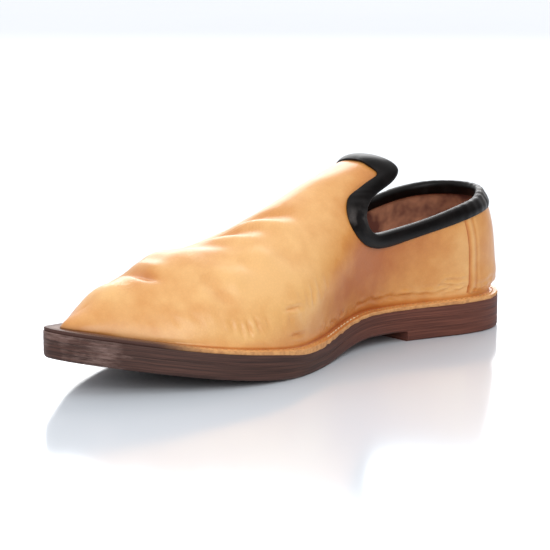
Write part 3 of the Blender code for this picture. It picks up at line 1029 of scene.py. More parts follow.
@dataclass(frozen=True)
class Finish:
    """A finish, whose patterns lie on the object in its own metres."""

    name: str

    def surface(self, node: NodeMaker, place: bpy.types.NodeSocket) -> Inputs:
        """Adds the finish's nodes.

        Args:
            node: Adds a node to the material's tree.
            place: The socket that gives the place on the object.

        Returns:
            What the surface shader's inputs are set to or linked from.
        """
        raise NotImplementedError

    def make(self) -> bpy.types.Material:
        """Builds the material.

        Returns:
            The material.
        """
        material = bpy.data.materials.new(self.name)
        material.use_nodes = True
        tree = material.node_tree
        node = partial(add_node, tree)
        inputs = self.surface(node, node("TexCoord").outputs["Object"])
        set_inputs(tree, tree.nodes["Principled BSDF"], inputs)
        return material


@dataclass(frozen=True)
class TumbledCalf(Finish):
    """Aniline-dyed calf, tumbled soft: a fine pebble, a satin sheen, and painted shade and light at the folds.

    The eye gets broad soft highlights, barely broken by the grain, and slow changes of tan, partly painted light and
    shade.
    """

    name: str = "tumbled_calf_tan"
    tan: str = "#DB944C"
    pale: str = "#F2BC78"
    deep: str = "#BC6829"
    stained: str = "#54301F"
    crease_shading: float = 0.2
    pebble_mm: float = 1.5
    pore_mm: float = 0.6
    mottle_mm: float = 22.0
    cloud_mm: float = 8.0
    uneven: float = 0.28
    gloss: tuple[float, float] = (0.28, 0.39)
    stain_dulls: float = 0.25

    def surface(self, node: NodeMaker, place: bpy.types.NodeSocket) -> Inputs:
        """Adds the dye, the grain and the gloss.

        Args:
            node: Adds a node.
            place: The place on the object.

        Returns:
            The shader's inputs.
        """
        crease_shade_and_light, tone, stain = (
            node("Attribute", attribute_name=name).outputs["Fac"] for name in ("crease_shade_and_light", "tone", "stain")
        )
        mottle = node("TexNoise", {"Vector": place, "Scale": 1000 / self.mottle_mm, "Detail": 3.0,
                                   "Roughness": 0.55}).outputs["Fac"]
        cloud = node("TexNoise", {"Vector": place, "Scale": 1000 / self.cloud_mm, "Detail": 3.0})
        uneven = node("Math", {0: mottle, 1: cloud.outputs["Fac"]}, operation="ADD")
        uneven = node("MapRange", {"Value": uneven.outputs[0], "From Min": 0.7, "From Max": 1.3,
                                   "To Min": -self.uneven, "To Max": self.uneven})
        # The colour is paled by painted light and deepened by painted shade, a little unevenly, darker in each
        # crease's trough and paler on its swellings.
        worn = node("Math", {0: tone, 1: uneven.outputs[0]}, operation="ADD").outputs[0]
        worn = node("Math", {0: crease_shade_and_light, 1: self.crease_shading, 2: worn}, operation="MULTIPLY_ADD").outputs[0]
        worn = node("MapRange", {"Value": worn, "From Min": -1.0, "From Max": 1.0}).outputs[0]
        dye_and_light = node("ValToRGB", {"Fac": worn}, stops=((0.0, self.deep), (0.5, self.tan), (1.0, self.pale)))
        dye_and_light = node("Mix", {"Factor": stain, 6: dye_and_light.outputs["Color"], 7: linear(self.stained)}, data_type="RGBA")
        cells = node("TexVoronoi", {"Vector": place, "Scale": 1000 / self.pebble_mm}, feature="DISTANCE_TO_EDGE")
        groove = node("MapRange", {"Value": cells.outputs["Distance"], "From Max": 0.25},
                      interpolation_type="SMOOTHSTEP").outputs[0]
        pores = node("TexNoise", {"Vector": place, "Scale": 1000 / self.pore_mm, "Detail": 2.0})
        dye_and_light = node("Mix", {"Factor": 0.03, 6: dye_and_light.outputs[2], 7: groove}, data_type="RGBA", blend_type="MULTIPLY")
        height = node("Math", {0: groove, 1: pores.outputs["Fac"]}, operation="ADD")
        bump = node("Bump", {"Height": height.outputs[0], "Strength": 0.1, "Distance": 0.15 * MM})
        gloss = node("MapRange", {"Value": mottle, "To Min": self.gloss[0], "To Max": self.gloss[1]})
        gloss = node("Math", {0: stain, 1: self.stain_dulls, 2: gloss.outputs[0]}, operation="MULTIPLY_ADD")
        return {"Base Color": dye_and_light.outputs[2], "Normal": bump.outputs["Normal"], "Roughness": gloss.outputs[0],
                "Sheen Weight": 0.05, "Sheen Roughness": 0.4}


@dataclass(frozen=True)
class SmoothBindingCalf(Finish):
    """Smooth calf dyed black, folded over a soft core: near black, with painted glints on its crest, at the notch and
    round the heel, and pale scrapes.
    """

    name: str = "smooth_calf_black"
    black: str = "#070403"
    rubbed: str = "#130D0C"
    scrape_and_glint: str = "#5E5855"
    grain_mm: float = 0.9
    wear_mm: float = 9.0
    scrape_mm: float = 7.0
    gloss: tuple[float, float] = (0.3, 0.48)

    def surface(self, node: NodeMaker, place: bpy.types.NodeSocket) -> Inputs:
        """Adds the dye, the scrapes and the gloss.

        Args:
            node: Adds a node.
            place: The place on the object.

        Returns:
            The shader's inputs.
        """
        wear = node("TexNoise", {"Vector": place, "Scale": 1000 / self.wear_mm, "Detail": 4.0,
                                 "Roughness": 0.6}).outputs["Fac"]
        tone = node("ValToRGB", {"Fac": wear}, stops=((0.42, self.black), (0.75, self.rubbed)))
        # The rub paint marks scrapes and painted glints, shown in the grey colour in noisy spots.
        rub = node("Attribute", attribute_name="rub").outputs["Fac"]
        spot = node("TexNoise", {"Vector": place, "Scale": 1000 / self.scrape_mm, "Detail": 3.0})
        spot = node("MapRange", {"Value": spot.outputs["Fac"], "From Min": 0.42, "From Max": 0.75, "To Max": 0.7})
        spot = node("Math", {0: spot.outputs[0], 1: rub}, operation="MULTIPLY", use_clamp=True)
        tone = node("Mix", {"Factor": spot.outputs[0], 6: tone.outputs["Color"], 7: linear(self.scrape_and_glint)},
                    data_type="RGBA")
        cells = node("TexVoronoi", {"Vector": place, "Scale": 1000 / self.grain_mm}, feature="DISTANCE_TO_EDGE")
        bump = node("Bump", {"Height": cells.outputs["Distance"], "Strength": 0.25, "Distance": 0.1 * MM})
        gloss = node("MapRange", {"Value": wear, "To Min": self.gloss[0], "To Max": self.gloss[1]})
        return {"Base Color": tone.outputs[2], "Normal": bump.outputs["Normal"], "Roughness": gloss.outputs[0],
                "Specular IOR Level": 0.18}


@dataclass(frozen=True)
class FibrousLeather(Finish):
    """Leather with no finish on it: matt, in two tones, with a third that is painted on the mesh.

    Attributes:
        name: The material's name.
        tones: The places of the two tones on the noise between them.
        tone_mm: The size of their patches.
        tone_noise: The detail and the roughness of that noise.
        third: The third tone.
        painted: The name of the paint that says where it is.
        fibre_mm: The size of the fibres.
        fibre_depth: How strongly they stand out.
        roughness: The surface's own roughness.
    """

    name: str
    tones: tuple[tuple[float, str], ...]
    tone_mm: float
    tone_noise: tuple[float, float]
    third: str
    painted: str
    fibre_mm: float
    fibre_depth: float
    roughness: float

    def surface(self, node: NodeMaker, place: bpy.types.NodeSocket) -> Inputs:
        """Adds the tones and the fibres.

        Args:
            node: Adds a node.
            place: The place on the object.

        Returns:
            The shader's inputs.
        """
        detail, rough = self.tone_noise
        tone = node("TexNoise", {"Vector": place, "Scale": 1000 / self.tone_mm, "Detail": detail, "Roughness": rough})
        tone = node("ValToRGB", {"Fac": tone.outputs["Fac"]}, stops=self.tones)
        where = node("Attribute", attribute_name=self.painted).outputs["Fac"]
        tone = node("Mix", {"Factor": where, 6: tone.outputs["Color"], 7: linear(self.third)}, data_type="RGBA")
        fibre = node("TexNoise", {"Vector": place, "Scale": 1000 / self.fibre_mm, "Detail": 4.0})
        bump = node("Bump", {"Height": fibre.outputs["Fac"], "Strength": self.fibre_depth, "Distance": 0.2 * MM})
        return {"Base Color": tone.outputs[2], "Normal": bump.outputs["Normal"], "Roughness": self.roughness}


# Vegetable-tanned lining leather: matt reddish brown, darkened where it is touched, its border pale.
LINING_LEATHER = FibrousLeather(
    name="lining_leather_red_brown", tones=((0.4, "#704236"), (0.6, "#C48868")), tone_mm=17.0,
    tone_noise=(3.0, 0.6), third="#F0C4A6", painted="border", fibre_mm=1.1, fibre_depth=0.3, roughness=0.68,
)
# The raw cut edge of the upper: rough pale fibre where it is clean, and stained dark round the toe.
CUT_LEATHER = FibrousLeather(
    name="cut_leather_edge", tones=((0.4, "#DDA266"), (0.75, "#B87A4A")), tone_mm=2.2,
    tone_noise=(4.0, 0.5), third="#4B2D24", painted="stain", fibre_mm=2.2, fibre_depth=0.5, roughness=0.75,
)


@dataclass(frozen=True)
class StackedSoleLeather(Finish):
    """Sole leather in layers, stained brown and burnished at the edge: level streaks, and pale scuffs."""

    name: str = "sole_leather_brown"
    front: tuple[str, str] = ("#34231E", "#5E3F36")
    heel: tuple[str, str] = ("#512D24", "#7C4A3C")
    scuff: str = "#A98A80"
    streak_mm: tuple[float, float] = (45.0, 0.6)
    wave_mm: float = 14.0
    wave_height: float = 1.6
    redder_mm: tuple[float, float] = (150.0, 70.0)
    patch_mm: float = 18.0
    speck_mm: tuple[float, float] = (7.0, 1.3)
    rub_from: float = 0.16
    rub_contrast: float = 3.5

    def surface(self, node: NodeMaker, place: bpy.types.NodeSocket) -> Inputs:
        """Adds the streaks, the change of tone towards the heel and the scuffs.

        Args:
            node: Adds a node.
            place: The place on the object.

        Returns:
            The shader's inputs.
        """
        edge = node("Attribute", attribute_name="edge_place").outputs["Vector"]
        station, worn = (node("Attribute", attribute_name=name).outputs["Fac"] for name in ("station", "wear"))
        # The streaks are long along the edge and thin up it, and the layers wave a little.
        streaks, specks = ((1 / along, 1 / along, 1 / up) for along, up in (self.streak_mm, self.speck_mm))
        wave = node("TexNoise", {"Vector": place, "Scale": 1000 / self.wave_mm, "Detail": 1.0})
        wave = node("VectorMath", {0: wave.outputs["Fac"], 1: (0.0, 0.0, self.wave_height)}, operation="MULTIPLY")
        level = node("VectorMath", {0: edge, 1: streaks, 2: wave.outputs[0]}, operation="MULTIPLY_ADD")
        streak = node("TexNoise", {"Vector": level.outputs[0], "Scale": 1.0, "Detail": 4.0,
                                   "Roughness": 0.6}).outputs["Fac"]
        front, heel = (
            node("ValToRGB", {"Fac": streak}, stops=((0.36, dark), (0.66, light))).outputs["Color"]
            for dark, light in (self.front, self.heel)
        )
        redder = node("MapRange", {"Value": station, "From Min": self.redder_mm[0], "From Max": self.redder_mm[1]})
        tone = node("Mix", {"Factor": redder.outputs[0], 6: front, 7: heel}, data_type="RGBA")
        patch = node("TexNoise", {"Vector": place, "Scale": 1000 / self.patch_mm, "Detail": 2.0})
        speck = node("VectorMath", {0: edge, 1: specks}, operation="MULTIPLY")
        speck = node("TexNoise", {"Vector": speck.outputs[0], "Scale": 1.0, "Detail": 5.0, "Roughness": 0.7})
        rub = node("Math", {0: patch.outputs["Fac"], 1: speck.outputs["Fac"]}, operation="MULTIPLY")
        rub = node("Math", {0: rub.outputs[0], 1: worn, 2: -self.rub_from}, operation="MULTIPLY_ADD")
        rub = node("Math", {0: rub.outputs[0], 1: self.rub_contrast}, operation="MULTIPLY", use_clamp=True)
        tone = node("Mix", {"Factor": rub.outputs[0], 6: tone.outputs[2], 7: linear(self.scuff)}, data_type="RGBA")
        bump = node("Bump", {"Height": streak, "Strength": 0.4, "Distance": 0.3 * MM})
        gloss = node("MapRange", {"Value": streak, "To Min": 0.5, "To Max": 0.7})
        return {"Base Color": tone.outputs[2], "Normal": bump.outputs["Normal"], "Roughness": gloss.outputs[0],
                "Specular IOR Level": 0.3}


@dataclass(frozen=True)
class WaxedThread(Finish):
    """Waxed linen thread in two twisted plies: a little sheen along each stitch."""

    name: str = "waxed_thread_tan"
    colour: str = "#CF9658"
    pale: str = "#EBD3AE"
    stained: str = "#5A382B"
    ply_mm: float = 0.5

    def surface(self, node: NodeMaker, place: bpy.types.NodeSocket) -> Inputs:
        """Adds the thread's tones and plies.

        Args:
            node: Adds a node.
            place: The place on the object.

        Returns:
            The shader's inputs.
        """
        tone = linear(self.colour)
        for painted, colour in (("clean", self.pale), ("stain", self.stained)):
            where = node("Attribute", attribute_name=painted).outputs["Fac"]
            tone = node("Mix", {"Factor": where, 6: tone, 7: linear(colour)}, data_type="RGBA").outputs[2]
        ply = node("TexNoise", {"Vector": place, "Scale": 1000 / self.ply_mm, "Detail": 1.0})
        bump = node("Bump", {"Height": ply.outputs["Fac"], "Strength": 0.4, "Distance": 0.1 * MM})
        return {"Base Color": tone, "Normal": bump.outputs["Normal"], "Roughness": 0.5}


@dataclass(frozen=True)
class LacqueredBoard(Finish):
    """White board with a clear lacquer: smooth enough to mirror the shoe softly."""

    name: str = "white_lacquered_board"
    white: str = "#E4EAF0"
    haze: tuple[float, float] = (0.1, 0.16)

    def surface(self, node: NodeMaker, place: bpy.types.NodeSocket) -> Inputs:
        """Adds the lacquer's faint haze.

        Args:
            node: Adds a node.
            place: The place on the object.

        Returns:
            The shader's inputs.
        """
        haze = node("TexNoise", {"Vector": place, "Scale": 3.0})
        haze = node("MapRange", {"Value": haze.outputs["Fac"], "To Min": self.haze[0], "To Max": self.haze[1]})
        return {"Base Color": linear(self.white), "Roughness": haze.outputs[0], "Specular IOR Level": 0.75}


# ---------------------------------------------------------------- sub-assemblies


@dataclass
class Upper:
    """The one-piece upper with its turned-out edge, its lining and the strap over the back seam.

    Attributes:
        thickness: Of the leather alone; the wall is both, and a hair is left between them.
        depths: Places across the collar's band: 0 on the cut edge, 1 on the binding's lower border.
        rib_bend: How much the ribs lean back towards the collar.
        foot_sweep: The sweep at which the wall turns into the flange, and foot_blend that over which the
            creases fade out there.
        fold_shade: How much shade is painted dark in the fold over the flange, ring by ring.
        cut_strips: The flange's strips of faces that show the cut edge.
        loose_run: The ramp in station over which the trimmed edge gets loose behind the ball; it
            wanders by loose_shift and hangs by loose_droop.
        lap_place: The middle and the width of the place where the edge laps over the sole's.
        heel_run: The ramp in station over which the edge gets wider towards the heel.
        stain_run: The ramp in station over which the sole's stain takes hold round the toe.
    """

    last: CreasedLast
    collar: Collar
    leather: bpy.types.Material
    cut: bpy.types.Material
    lining: bpy.types.Material
    thickness: float = 1.05
    wall: float = 1.8
    hair: float = 0.06
    depths: tuple[float, ...] = (0.0, 0.2, 0.4, 0.6, 0.8, 1.0, 1.12, 1.25)
    lining_depths: tuple[float, ...] = (0.0, 0.34, 0.4, 0.46, 0.52, 0.75, 1.0, 1.25)
    ridge_ribs: int = 220
    rows: int = 70
    inner_rows: int = 24
    lining_rows: int = 30
    strap_rows: int = 40
    rib_bend: float = 2.4
    foot_sweep: float = 0.035
    foot_blend: float = 0.05
    strap_rise: float = 0.7
    strap_depths: tuple[float, ...] = (0.55, 0.725, 0.9, 1.075, 1.25)
    strap_front: float = -0.3
    strap_foot: tuple[float, float] = (0.02, 0.06)
    fold_shade: tuple[float, ...] = (-3.5, -5.0, -5.0, -1.5)
    cut_strips: tuple[int, int] = (8, 12)
    loose_run: tuple[float, float] = (165.0, -40.0)
    loose_shift: float = 0.4
    loose_droop: float = 0.45
    lap_place: tuple[float, float] = (152.0, 24.0)
    lap_width: float = 0.5
    lap_droop: float = 1.7
    heel_run: tuple[float, float] = (120.0, -20.0)
    heel_width: float = 0.25
    outer_share: float = 0.7
    stain_run: tuple[float, float] = (206.0, 26.0)
    stain_height: float = 0.9
    fold_shade_fade: float = 0.8
    before_seam: ClassVar[float] = -1000.0

    @property
    def band(self) -> int:
        """The column at which the band round the collar ends and the body of the upper begins."""
        return len(self.depths) - 1

    def ribs(self, side: Side, depths: Array) -> tuple[Array, Array, Array, Array]:
        """The ribs that end on the spine, and then those that end at the collar.

        Args:
            side: The side of the shoe.
            depths: Places across the collar's band.

        Returns:
            Shares and sweeps across the band, the ribs' feet, and how far each lies behind the seam.
        """
        share, sweep, feet, behind = self.collar.grid(self.last, side, depths)
        top = self.last.point(side, share[0, -1], sweep[0, -1])[0]
        spine = np.linspace(self.last.spine.station[-1], top, self.ridge_ribs + 1)[:-1]
        tops = self.last.share_for_spine(side, spine)
        ridge_feet = np.linspace(1.0, feet[0], self.ridge_ribs + 1)[:-1]
        return (
            np.concatenate([np.repeat(tops[:, None], len(depths), axis=1), share]),
            np.concatenate([np.full((self.ridge_ribs, len(depths)), math.pi / 2), sweep]),
            np.concatenate([ridge_feet, feet]),
            np.concatenate([np.full(self.ridge_ribs, self.before_seam), behind]),
        )

    def chart(self, side: Side, depths: Any, rows: int) -> tuple[Array, Array, Array, Array]:
        """Whole ribs, from the cut edge on top down to the turned-out edge.

        Args:
            side: The side of the shoe.
            depths: Places across the collar's band.
            rows: How many points each rib has below the band.

        Returns:
            Shares and sweeps with a row for each rib, its foot, and how far it lies behind the seam.
        """
        share, sweep, feet, behind = self.ribs(side, np.asarray(depths))
        climb = np.linspace(1, 0, rows)
        body = feet[:, None] + (share[:, -1] - feet)[:, None] * climb**self.rib_bend
        turn = self.foot_sweep + (sweep[:, -1:] - self.foot_sweep) * climb
        share, sweep = (np.concatenate([top[:, :-1], low], axis=1) for top, low in ((share, body), (sweep, turn)))
        return share, sweep, feet, behind

    def skin(self, side: Side, share: Array, sweep: Array, away: Any) -> tuple[Array, Array]:
        """A surface that follows the creased last.

        Args:
            side: The side of the shoe.
            share: The points' shares of the feather line.
            sweep: Their sweeps.
            away: How far outside the last the surface lies.

        Returns:
            The points, and how far the creases lift each of them.
        """
        base, normal = self.last.point(side, share, sweep), self.last.normal(side, share, sweep)
        lift = self.last.lift(base) * ramp(sweep, self.foot_sweep, self.foot_blend)
        return base + normal * (away + lift)[..., None], lift

    def flange(self, side: Side, feet: Array) -> Array:
        """The turned-out edge, from the foot of the wall round the cut edge and back underneath.

        Args:
            side: The side of the shoe.
            feet: The ribs' feet on the feather line.

        Returns:
            Its points, with a row for each rib.
        """
        base, out = self.last.feather(side, feet), self.last.outward(side, feet)
        edge = self.last.outline.flange_width(base[:, 0]) - self.last.sole.gap
        # Behind the ball the trimmed edge is a little uneven, and droops over the sole's in places.
        low = np.column_stack([base, np.zeros(len(base))])
        loose = ramp(base[:, 0], *self.loose_run) * self.last.swell(low, self.last.gathers)
        lap = bell(base[:, 0], *self.lap_place)
        wider = self.lap_width * lap, self.heel_width * ramp(base[:, 0], *self.heel_run)
        edge = edge + loose * self.loose_shift + wider[0] + wider[1]
        droop = np.abs(loose) * self.loose_droop + self.lap_droop * lap
        # The leather turns out in a soft bend, and the thread pulls a shallow channel into the flange.
        wall = self.wall
        section = (
            (0.22, wall + 0.75), (0.12, wall + 0.4), (0.3, wall + 0.08), (1.1, wall + 0.12),
            (edge - 2.5, wall + 0.04), (edge - 2.1, wall - 0.16), (edge - 1.7, wall), (edge - 0.6, wall - 0.02),
            (edge - 0.15, wall - 0.12), (edge, wall - 0.4 - 0.3 * droop), (edge + 0.05, 1.0 - 0.5 * droop),
            (edge, 0.35 - 0.6 * droop), (edge - 0.2, -0.6 * droop), (0.6, 0.0), (-1.0, 0.9),
        )
        rings = []
        for distance, height in section:
            place = base + out * np.reshape(distance, (-1, 1))
            rings.append(np.column_stack([place, self.last.sole.flange_bottom(place[:, 0]) + height]))
        return np.stack(rings, axis=1)

    def leather_sheet(self, side: Side) -> Sheet:
        """One side of the leather: sections from the cut edge on top round the flange and up inside.

        Args:
            side: The side of the shoe.

        Returns:
            The sheet, with its painted crease shade and light, its painted light and shade, and its stain.
        """
        share, outer_sweep, feet, _ = self.chart(side, self.depths, self.rows)
        outside, lift = self.skin(side, share, outer_sweep, 0.0)
        even = np.linspace(0, self.depths[-1], len(self.depths))
        share, sweep, feet, _ = self.chart(side, even, self.inner_rows)
        inside, _ = self.skin(side, share, sweep, -self.thickness)
        flange = self.flange(side, feet)
        points = np.concatenate([outside, flange, inside[:, ::-1]], axis=1)
        station = points[..., 0]
        # Shade is painted dark in the fold over the flange, less of it round the toe.
        fold = np.zeros(flange.shape[:2])
        fold[:, : len(self.fold_shade)] = self.fold_shade
        fold *= 1 - self.fold_shade_fade * ramp(self.last.feather(side, feet)[:, :1], *self.stain_run)
        girth = np.full(points.shape[:2], -1.0)
        girth[:, : outside.shape[1]] = outer_sweep / (math.pi / 2) - 1
        # The painted light and shade is weaker on the outer side.
        worn = 1.0 if side is Side.INNER else self.outer_share
        rise = np.maximum(points[..., 2] - self.last.sole.flange_top(station), 0.0)
        # The creases' lift paints shade in their troughs and light on their swellings, and the patches paint light
        # and shade.
        paint = {
            "crease_shade_and_light": np.concatenate([lift, fold, np.zeros(inside.shape[:2])], axis=1),
            "tone": sum(patch.at(station, girth) for patch in PAINTED_LIGHT_AND_SHADE) * worn,
            "stain": ramp(station, *self.stain_run) * np.exp(-rise / self.stain_height),
        }
        cut = range(*(outside.shape[1] + strip for strip in self.cut_strips))
        strips = [Face.CUT if strip in cut else Face.GRAIN for strip in range(points.shape[1])]
        return Sheet(points, strips, paint, self.band, self.ridge_ribs)

    def lining_sheet(self, side: Side) -> Sheet:
        """One side of the lining, with its border by the binding painted.

        Args:
            side: The side of the shoe.

        Returns:
            The sheet.
        """
        share, sweep, _, _ = self.chart(side, self.lining_depths, self.lining_rows)
        near, _ = self.skin(side, share, sweep, -self.thickness - self.hair)
        far, _ = self.skin(side, share, sweep, -self.wall)
        points = np.concatenate([near, far[:, ::-1]], axis=1)
        border = np.zeros(points.shape[:2])
        border[self.ridge_ribs :, -3] = 1.0
        strips = [Face.GRAIN] * points.shape[1]
        return Sheet(points, strips, {"border": border}, self.band, self.ridge_ribs)

    def strap_sheet(self, side: Side) -> Sheet:
        """One side of the strap, with a first row that closes its front edge.

        Args:
            side: The side of the shoe.

        Returns:
            The sheet.
        """
        chart = self.chart(side, self.strap_depths, self.strap_rows)
        share, sweep, _, behind = (values[chart[3] > self.strap_front] for values in chart)
        # Its front edge is turned under: a plump ridge, and a shallow sewn channel behind it.
        swell = self.strap_rise + 0.3 * bell(behind, 2.0, 1.2) - 0.18 * bell(behind, 4.6, 0.8)
        under, start = self.strap_foot
        swell = np.where(behind < 1.3, start + (swell - start) * ramp(behind, -0.2, 1.5), swell)
        outside, _ = self.skin(side, share, sweep, swell[:, None])
        inside, _ = self.skin(side, share, sweep, under)
        outside, inside = np.concatenate([inside[:1], outside]), np.concatenate([inside[:1], inside])
        points = np.concatenate([outside, inside[:, ::-1]], axis=1)
        # Painted highlight on the ridge of its turned edge and behind the channel, and painted shade in front of the
        # edge and in the channel.
        behind = np.concatenate([behind[:1] - 0.5, behind])
        tone = 0.05 + 0.5 * bell(behind, 2.2, 1.0) - 1.1 * bell(behind, -0.1, 0.8)
        tone += 0.35 * bell(behind, 6.0, 0.7) - 0.35 * bell(behind, 4.6, 0.6)
        blank = np.zeros(points.shape[:2])
        paint = {"crease_shade_and_light": blank, "tone": tone[:, None] + blank, "stain": blank}
        return Sheet(points, [Face.GRAIN] * points.shape[1], paint)

    def build(self) -> None:
        """Builds and settles the upper's pieces, each from a sheet for either side."""
        ridge, grain = (self.ridge_ribs, self.band), (self.leather, self.cut)
        for name, sheet, joint, finishes, slot, nodes in (
            ("upper_leather", self.leather_sheet, ridge, grain, "upper_leather", ("upper",)),
            ("quarter_lining", self.lining_sheet, ridge, (self.lining,), "insole_leather", ()),
            ("back_strap", self.strap_sheet, (0, 0, (-1,)), grain, "upper_leather", ()),
        ):
            inner, outer = (sheet(side) for side in Side)
            weld_sides(inner.points, outer.points, *joint)
            settle(make_piece(self.last, name, (inner, outer), finishes), slot, *nodes)


@dataclass
class CollarBinding:
    """The strip of smooth leather folded over the collar's edge, with a soft core in its fold."""

    last: Last
    collar: Collar
    leather: bpy.types.Material
    ribs: int = 220
    columns: int = 8
    inner_columns: int = 6
    crest: tuple[int, int] = (10, 13)
    outer_lift: float = 1.55
    outer_crown: float = 0.55
    outer_dip: float = 0.5
    inner_lift: float = 3.35
    inner_crown: float = 0.25
    inner_dip: float = 0.3
    inner_reach: float = 0.38
    wall: float = 1.8
    tuck: float = 0.3
    strap_rise: float = 0.3
    heel_stretch: float = 0.55
    tongue_fold: float = 3.4
    side_fold: dict[Side, float] = field(default_factory=lambda: {Side.INNER: 2.0, Side.OUTER: 3.4})
    heel_fold: float = 4.2
    outer_share: float = 0.2

    def sheet(self, side: Side) -> Sheet:
        """One side of the strip: sections up its outer leg, over the fold, down its inner leg and back.

        Args:
            side: The side of the shoe.

        Returns:
            The sheet, with how scuffed and how brightly glint-painted each point is.
        """
        depths, across = np.linspace(0.0, 1.0, self.columns), np.linspace(0, 1, self.inner_columns)
        share, sweep, _, behind = self.collar.grid(self.last, side, depths, self.ribs)
        base, normal = self.last.point(side, share, sweep), self.last.normal(side, share, sweep)
        edge, out = base[:, 0], normal[:, 0]
        # The outer side has fewer puckers, scuffs and painted glints.
        worn = 1.0 if side is Side.INNER else self.outer_share
        # The outer leg is a little fuller in the middle and dips to its stitched border.
        full = np.sin(np.pi * np.clip(depths * 0.9 + 0.1, 0, 1))
        crown = self.outer_lift + self.outer_crown * full - self.outer_dip * depths**6
        # It climbs over the strap, is stretched flatter round the heel, and puckers where it turns.
        rise = self.strap_rise * ramp(behind, -1.0, 2.0)[:, None]
        flatter = self.heel_stretch * ramp(behind, 12.0, 20.0)[:, None]
        pucker = 0.07 * worn * np.sin(behind * 1.1 + 0.012 * behind**2) * bell(behind, 19.0, 5.0)
        pucker += 0.1 * worn * np.sin(behind * 1.3) * bell(edge[:, 2], 67.0, 6.0)
        rise = rise - flatter + pucker[:, None]
        outer = base + normal * (crown + rise)[..., None]
        share, sweep, _, _ = self.collar.grid(self.last, side, self.inner_reach * across, self.ribs)
        inside, inward = self.last.point(side, share, sweep), -self.last.normal(side, share, sweep)
        inner_crown = self.inner_lift + self.inner_crown * np.sin(np.pi * across) - self.inner_dip * across**4
        inner = inside + inward * inner_crown[None, :, None]
        # The fold is a soft arch from leg to leg, taller at the tongue and the heel.
        beyond = unit(base[:, 0] - base[:, 1])
        middle, half = (crown[0] - self.inner_lift) / 2, (crown[0] + self.inner_lift) / 2
        reach = self.side_fold[side] + (self.tongue_fold - self.side_fold[side]) * ramp(edge[:, 2], 70.0, 12.0)
        reach += (self.heel_fold - reach) * ramp(behind, 10.0, 18.0) + pucker
        fold = [
            edge + beyond * (reach * math.sin(angle) ** 0.8)[:, None]
            + out * ((middle + half * math.cos(angle)) + rise * (angle < math.pi / 2))
            for angle in np.radians(np.linspace(20, 160, self.columns))
        ]
        hidden, under = inside + inward * (self.wall + self.tuck), base + normal * self.tuck
        cap = edge + beyond * self.tuck
        points = np.concatenate([
            outer[:, ::-1], np.stack(fold, axis=1), inner, hidden[:, ::-1],
            np.stack([cap - out * self.wall, cap], axis=1), under,
        ], axis=1)
        # It is scuffed with a painted glint at the notch, has painted glints round the heel, and a painted highlight
        # all along its crest.
        notch = 1.3 * bell(edge[:, 2], 64.0, 4.0) * ramp(edge[:, 0], 92.0, 6.0)
        rub = worn * (bell(behind, 22.0, 9.0) + notch)
        rub = np.repeat(rub[:, None], points.shape[1], axis=1)
        # The crest is painted paler as a highlight.
        rub[:, slice(*self.crest)] += 0.5 * worn
        return Sheet(points, [Face.GRAIN] * points.shape[1], {"rub": rub})

    def build(self) -> None:
        """Builds and settles the strip."""
        inner, outer = (self.sheet(side) for side in Side)
        weld_sides(inner.points, outer.points)
        piece = make_piece(self.last, "collar_binding_leather", (inner, outer), (self.leather,))
        settle(piece, "binding_leather", "collar_binding")


@dataclass(frozen=True)
class Layer:
    """One layer of the bottom.

    Attributes:
        name: The piece's name.
        bottom: The height of its underside along the shoe.
        top: The height of its top.
        profile: (inset, share of the height) places up its edge.
        finish: Its material.
        inset: Gives the edge's inset from the station and the profile's inset.
        front: The station at which it ends, if that isn't the toe.
        pattern_shift: How far its streaks are moved up the pattern, so that no two layers match.
        foot_wear: How much more it is scuffed at its foot, under the ball.
    """

    name: str
    bottom: Callable[[Array], Array]
    top: Callable[[Array], Array]
    profile: tuple[tuple[float, float], ...]
    finish: bpy.types.Material
    inset: Callable[[Array, float], Any] = lambda station, rim: rim
    front: Optional[float] = None
    pattern_shift: float = 0.0
    foot_wear: float = 0.0


